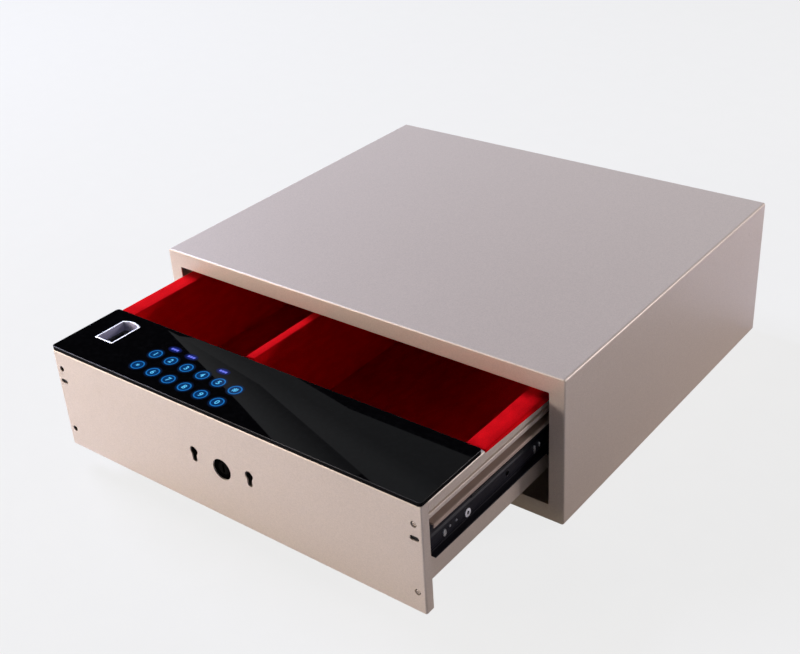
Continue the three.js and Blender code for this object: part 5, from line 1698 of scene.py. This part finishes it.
SEAM = ((-3.28, 2.277), (-2.666, 2.169), (-2.504, 2.116), (-2.25, 2.033))
DARK_CARD = ((-7.5, 2.9), (-0.9, 2.9), (-0.9, 4.7), (-7.5, 4.7))
NEAR_EDGE = ((-3.369, 2.286), (-2.634, 2.011), (-2.291, 1.873), (-1.9, 1.716), (-1.9, 1.917))
FAR_EDGE = ((-1.55, 1.8), (-1.55, 2.23), (-2.22, 2.235), (-2.57, 2.3), (-3.09, 2.34))


@dataclass
class Studio:
    """Plain pale room: floor, sky, soft lights and the camera of the photo."""

    focal_pixels: float = 1219.2893
    sensor: float = 36
    far: float = 50
    position: Place = (0.633189, -0.892056, 0.664617)
    back: Place = (0.54790481, -0.67071795, 0.49993775)
    up: Place = (-0.26501801, 0.42767221, 0.86421174)
    backdrop: Color = (0.84, 0.865, 0.875)
    ambient: float = 0.02
    floor_size: float = 9000
    floor_drop: float = 0.3
    floor_color: Color = (0.89, 0.89, 0.89)
    floor_grain: float = 0.985
    floor_glow: float = 0.91
    lights: tuple[SoftLight, ...] = (
        SoftLight("left_light", (-2.2, 0.1, 1.7), (0, -0.2, 0.1), (1.0, 0.9), 103, (0.68, 0.735, 1)),
        SoftLight("front_left_light", (-1.1, -1.5, 0.55), (0, -0.3, 0.08), (0.8, 0.6), 21, (1, 0.88, 0.81)),
        SoftLight("front_low_light", (-0.9, -1.3, 0.06), (0, -0.36, 0.05), (1.2, 0.1), 5.5, (1, 0.9, 0.75)),
        SoftLight("right_back_light", (1.5, 1.2, 0.7), (0.2, 0, 0.05), (0.6, 0.5), 20, (1, 0.9, 0.93)),
    )
    cards: tuple[Card, ...] = (
        Card("dark_card", Axis.Y, 3.6, DARK_CARD),
        Card("near_card", Axis.Z, 2.4, NEAR_EDGE + SEAM[::-1], (0.29, 0.11), (0.334, 0.943), (1.03, 1.15)),
        Card("far_card", Axis.Z, 2.4, SEAM + FAR_EDGE, (0.265, 0.17), (0.203, 0.98), (1.57, 1.66)),
    )

    def build(self) -> None:
        """Set the view, and build the camera, the room and the lights."""
        bpy.context.scene.view_settings.view_transform = "Standard"
        self.build_camera()
        self.build_sky()
        self.build_floor()
        for thing in (*self.lights, *self.cards):
            thing.build()

    def build_camera(self) -> None:
        """Camera fitted to the photo's box edges."""
        data = bpy.data.cameras.new("photo_camera")
        data.sensor_width, data.clip_end = self.sensor, self.far
        data.lens = self.focal_pixels * self.sensor / PHOTO_WIDTH
        camera = show(data, "photo_camera")
        back, up = Vector(self.back).normalized(), Vector(self.up).normalized()
        right = up.cross(back).normalized()
        turn = Matrix((right, back.cross(right), back)).transposed().to_4x4()
        camera.matrix_world = Matrix.Translation(self.position) @ turn
        bpy.context.scene.camera = camera

    def build_sky(self) -> None:
        """Sky: the backdrop's colour to the eye and in reflections, and a plain level of light."""
        sky = Shader("pale_room", sky=True)
        rays = sky.node("ShaderNodeLightPath").outputs
        shown = sky.math("MAXIMUM", rays["Is Camera Ray"], rays["Is Glossy Ray"])
        lit = sky.feed(sky.node("ShaderNodeBackground"), Color=(1, 1, 1, 1), Strength=self.ambient)
        seen = sky.feed(sky.node("ShaderNodeBackground"), Color=(*self.backdrop, 1))
        share = sky.math("MAXIMUM", shown, rays["Is Transmission Ray"])
        bpy.context.scene.world = sky.mixed(share, lit, seen)

    def build_floor(self) -> None:
        """Plain pale floor under the case, which glows a little to the eye."""
        shape = Shape()
        bmesh.ops.create_grid(shape.bm, x_segments=1, y_segments=1, size=self.floor_size)
        bmesh.ops.translate(shape.bm, vec=(0, 0, -self.floor_drop), verts=shape.bm.verts[:])
        floor = show(shape.to_mesh("studio_floor"), "studio_floor")
        shader = Shader("floor_paper")
        worn = tuple(c * self.floor_grain for c in self.floor_color)
        grain = shader.blend(shader.noise(30), self.floor_color, worn)
        paper = shader.feed(shader.node("ShaderNodeBsdfDiffuse"), Color=grain)
        glow = shader.feed(shader.node("ShaderNodeEmission"), Color=grain)
        eye = shader.node("ShaderNodeLightPath").outputs["Is Camera Ray"]
        share = shader.math("MULTIPLY", eye, self.floor_glow)
        floor.data.materials.append(shader.mixed(share, paper, glow))


def main() -> None:
    """Build the studio and every sub-assembly."""
    logging.basicConfig(level=logging.INFO, format="%(name)s: %(message)s")
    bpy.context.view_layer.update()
    Studio().build()
    slides = [Slide(side, name) for side, name in SIDES]
    drawer = (DrawerFront(), DrawerTray(), ControlDeck(), FeltLining(), LockWork())
    for assembly in (CaseBody(), *slides, *drawer):
        LOG.info("building %s", type(assembly).__name__)
        assembly.build()


if __name__ == "__main__":
    main()
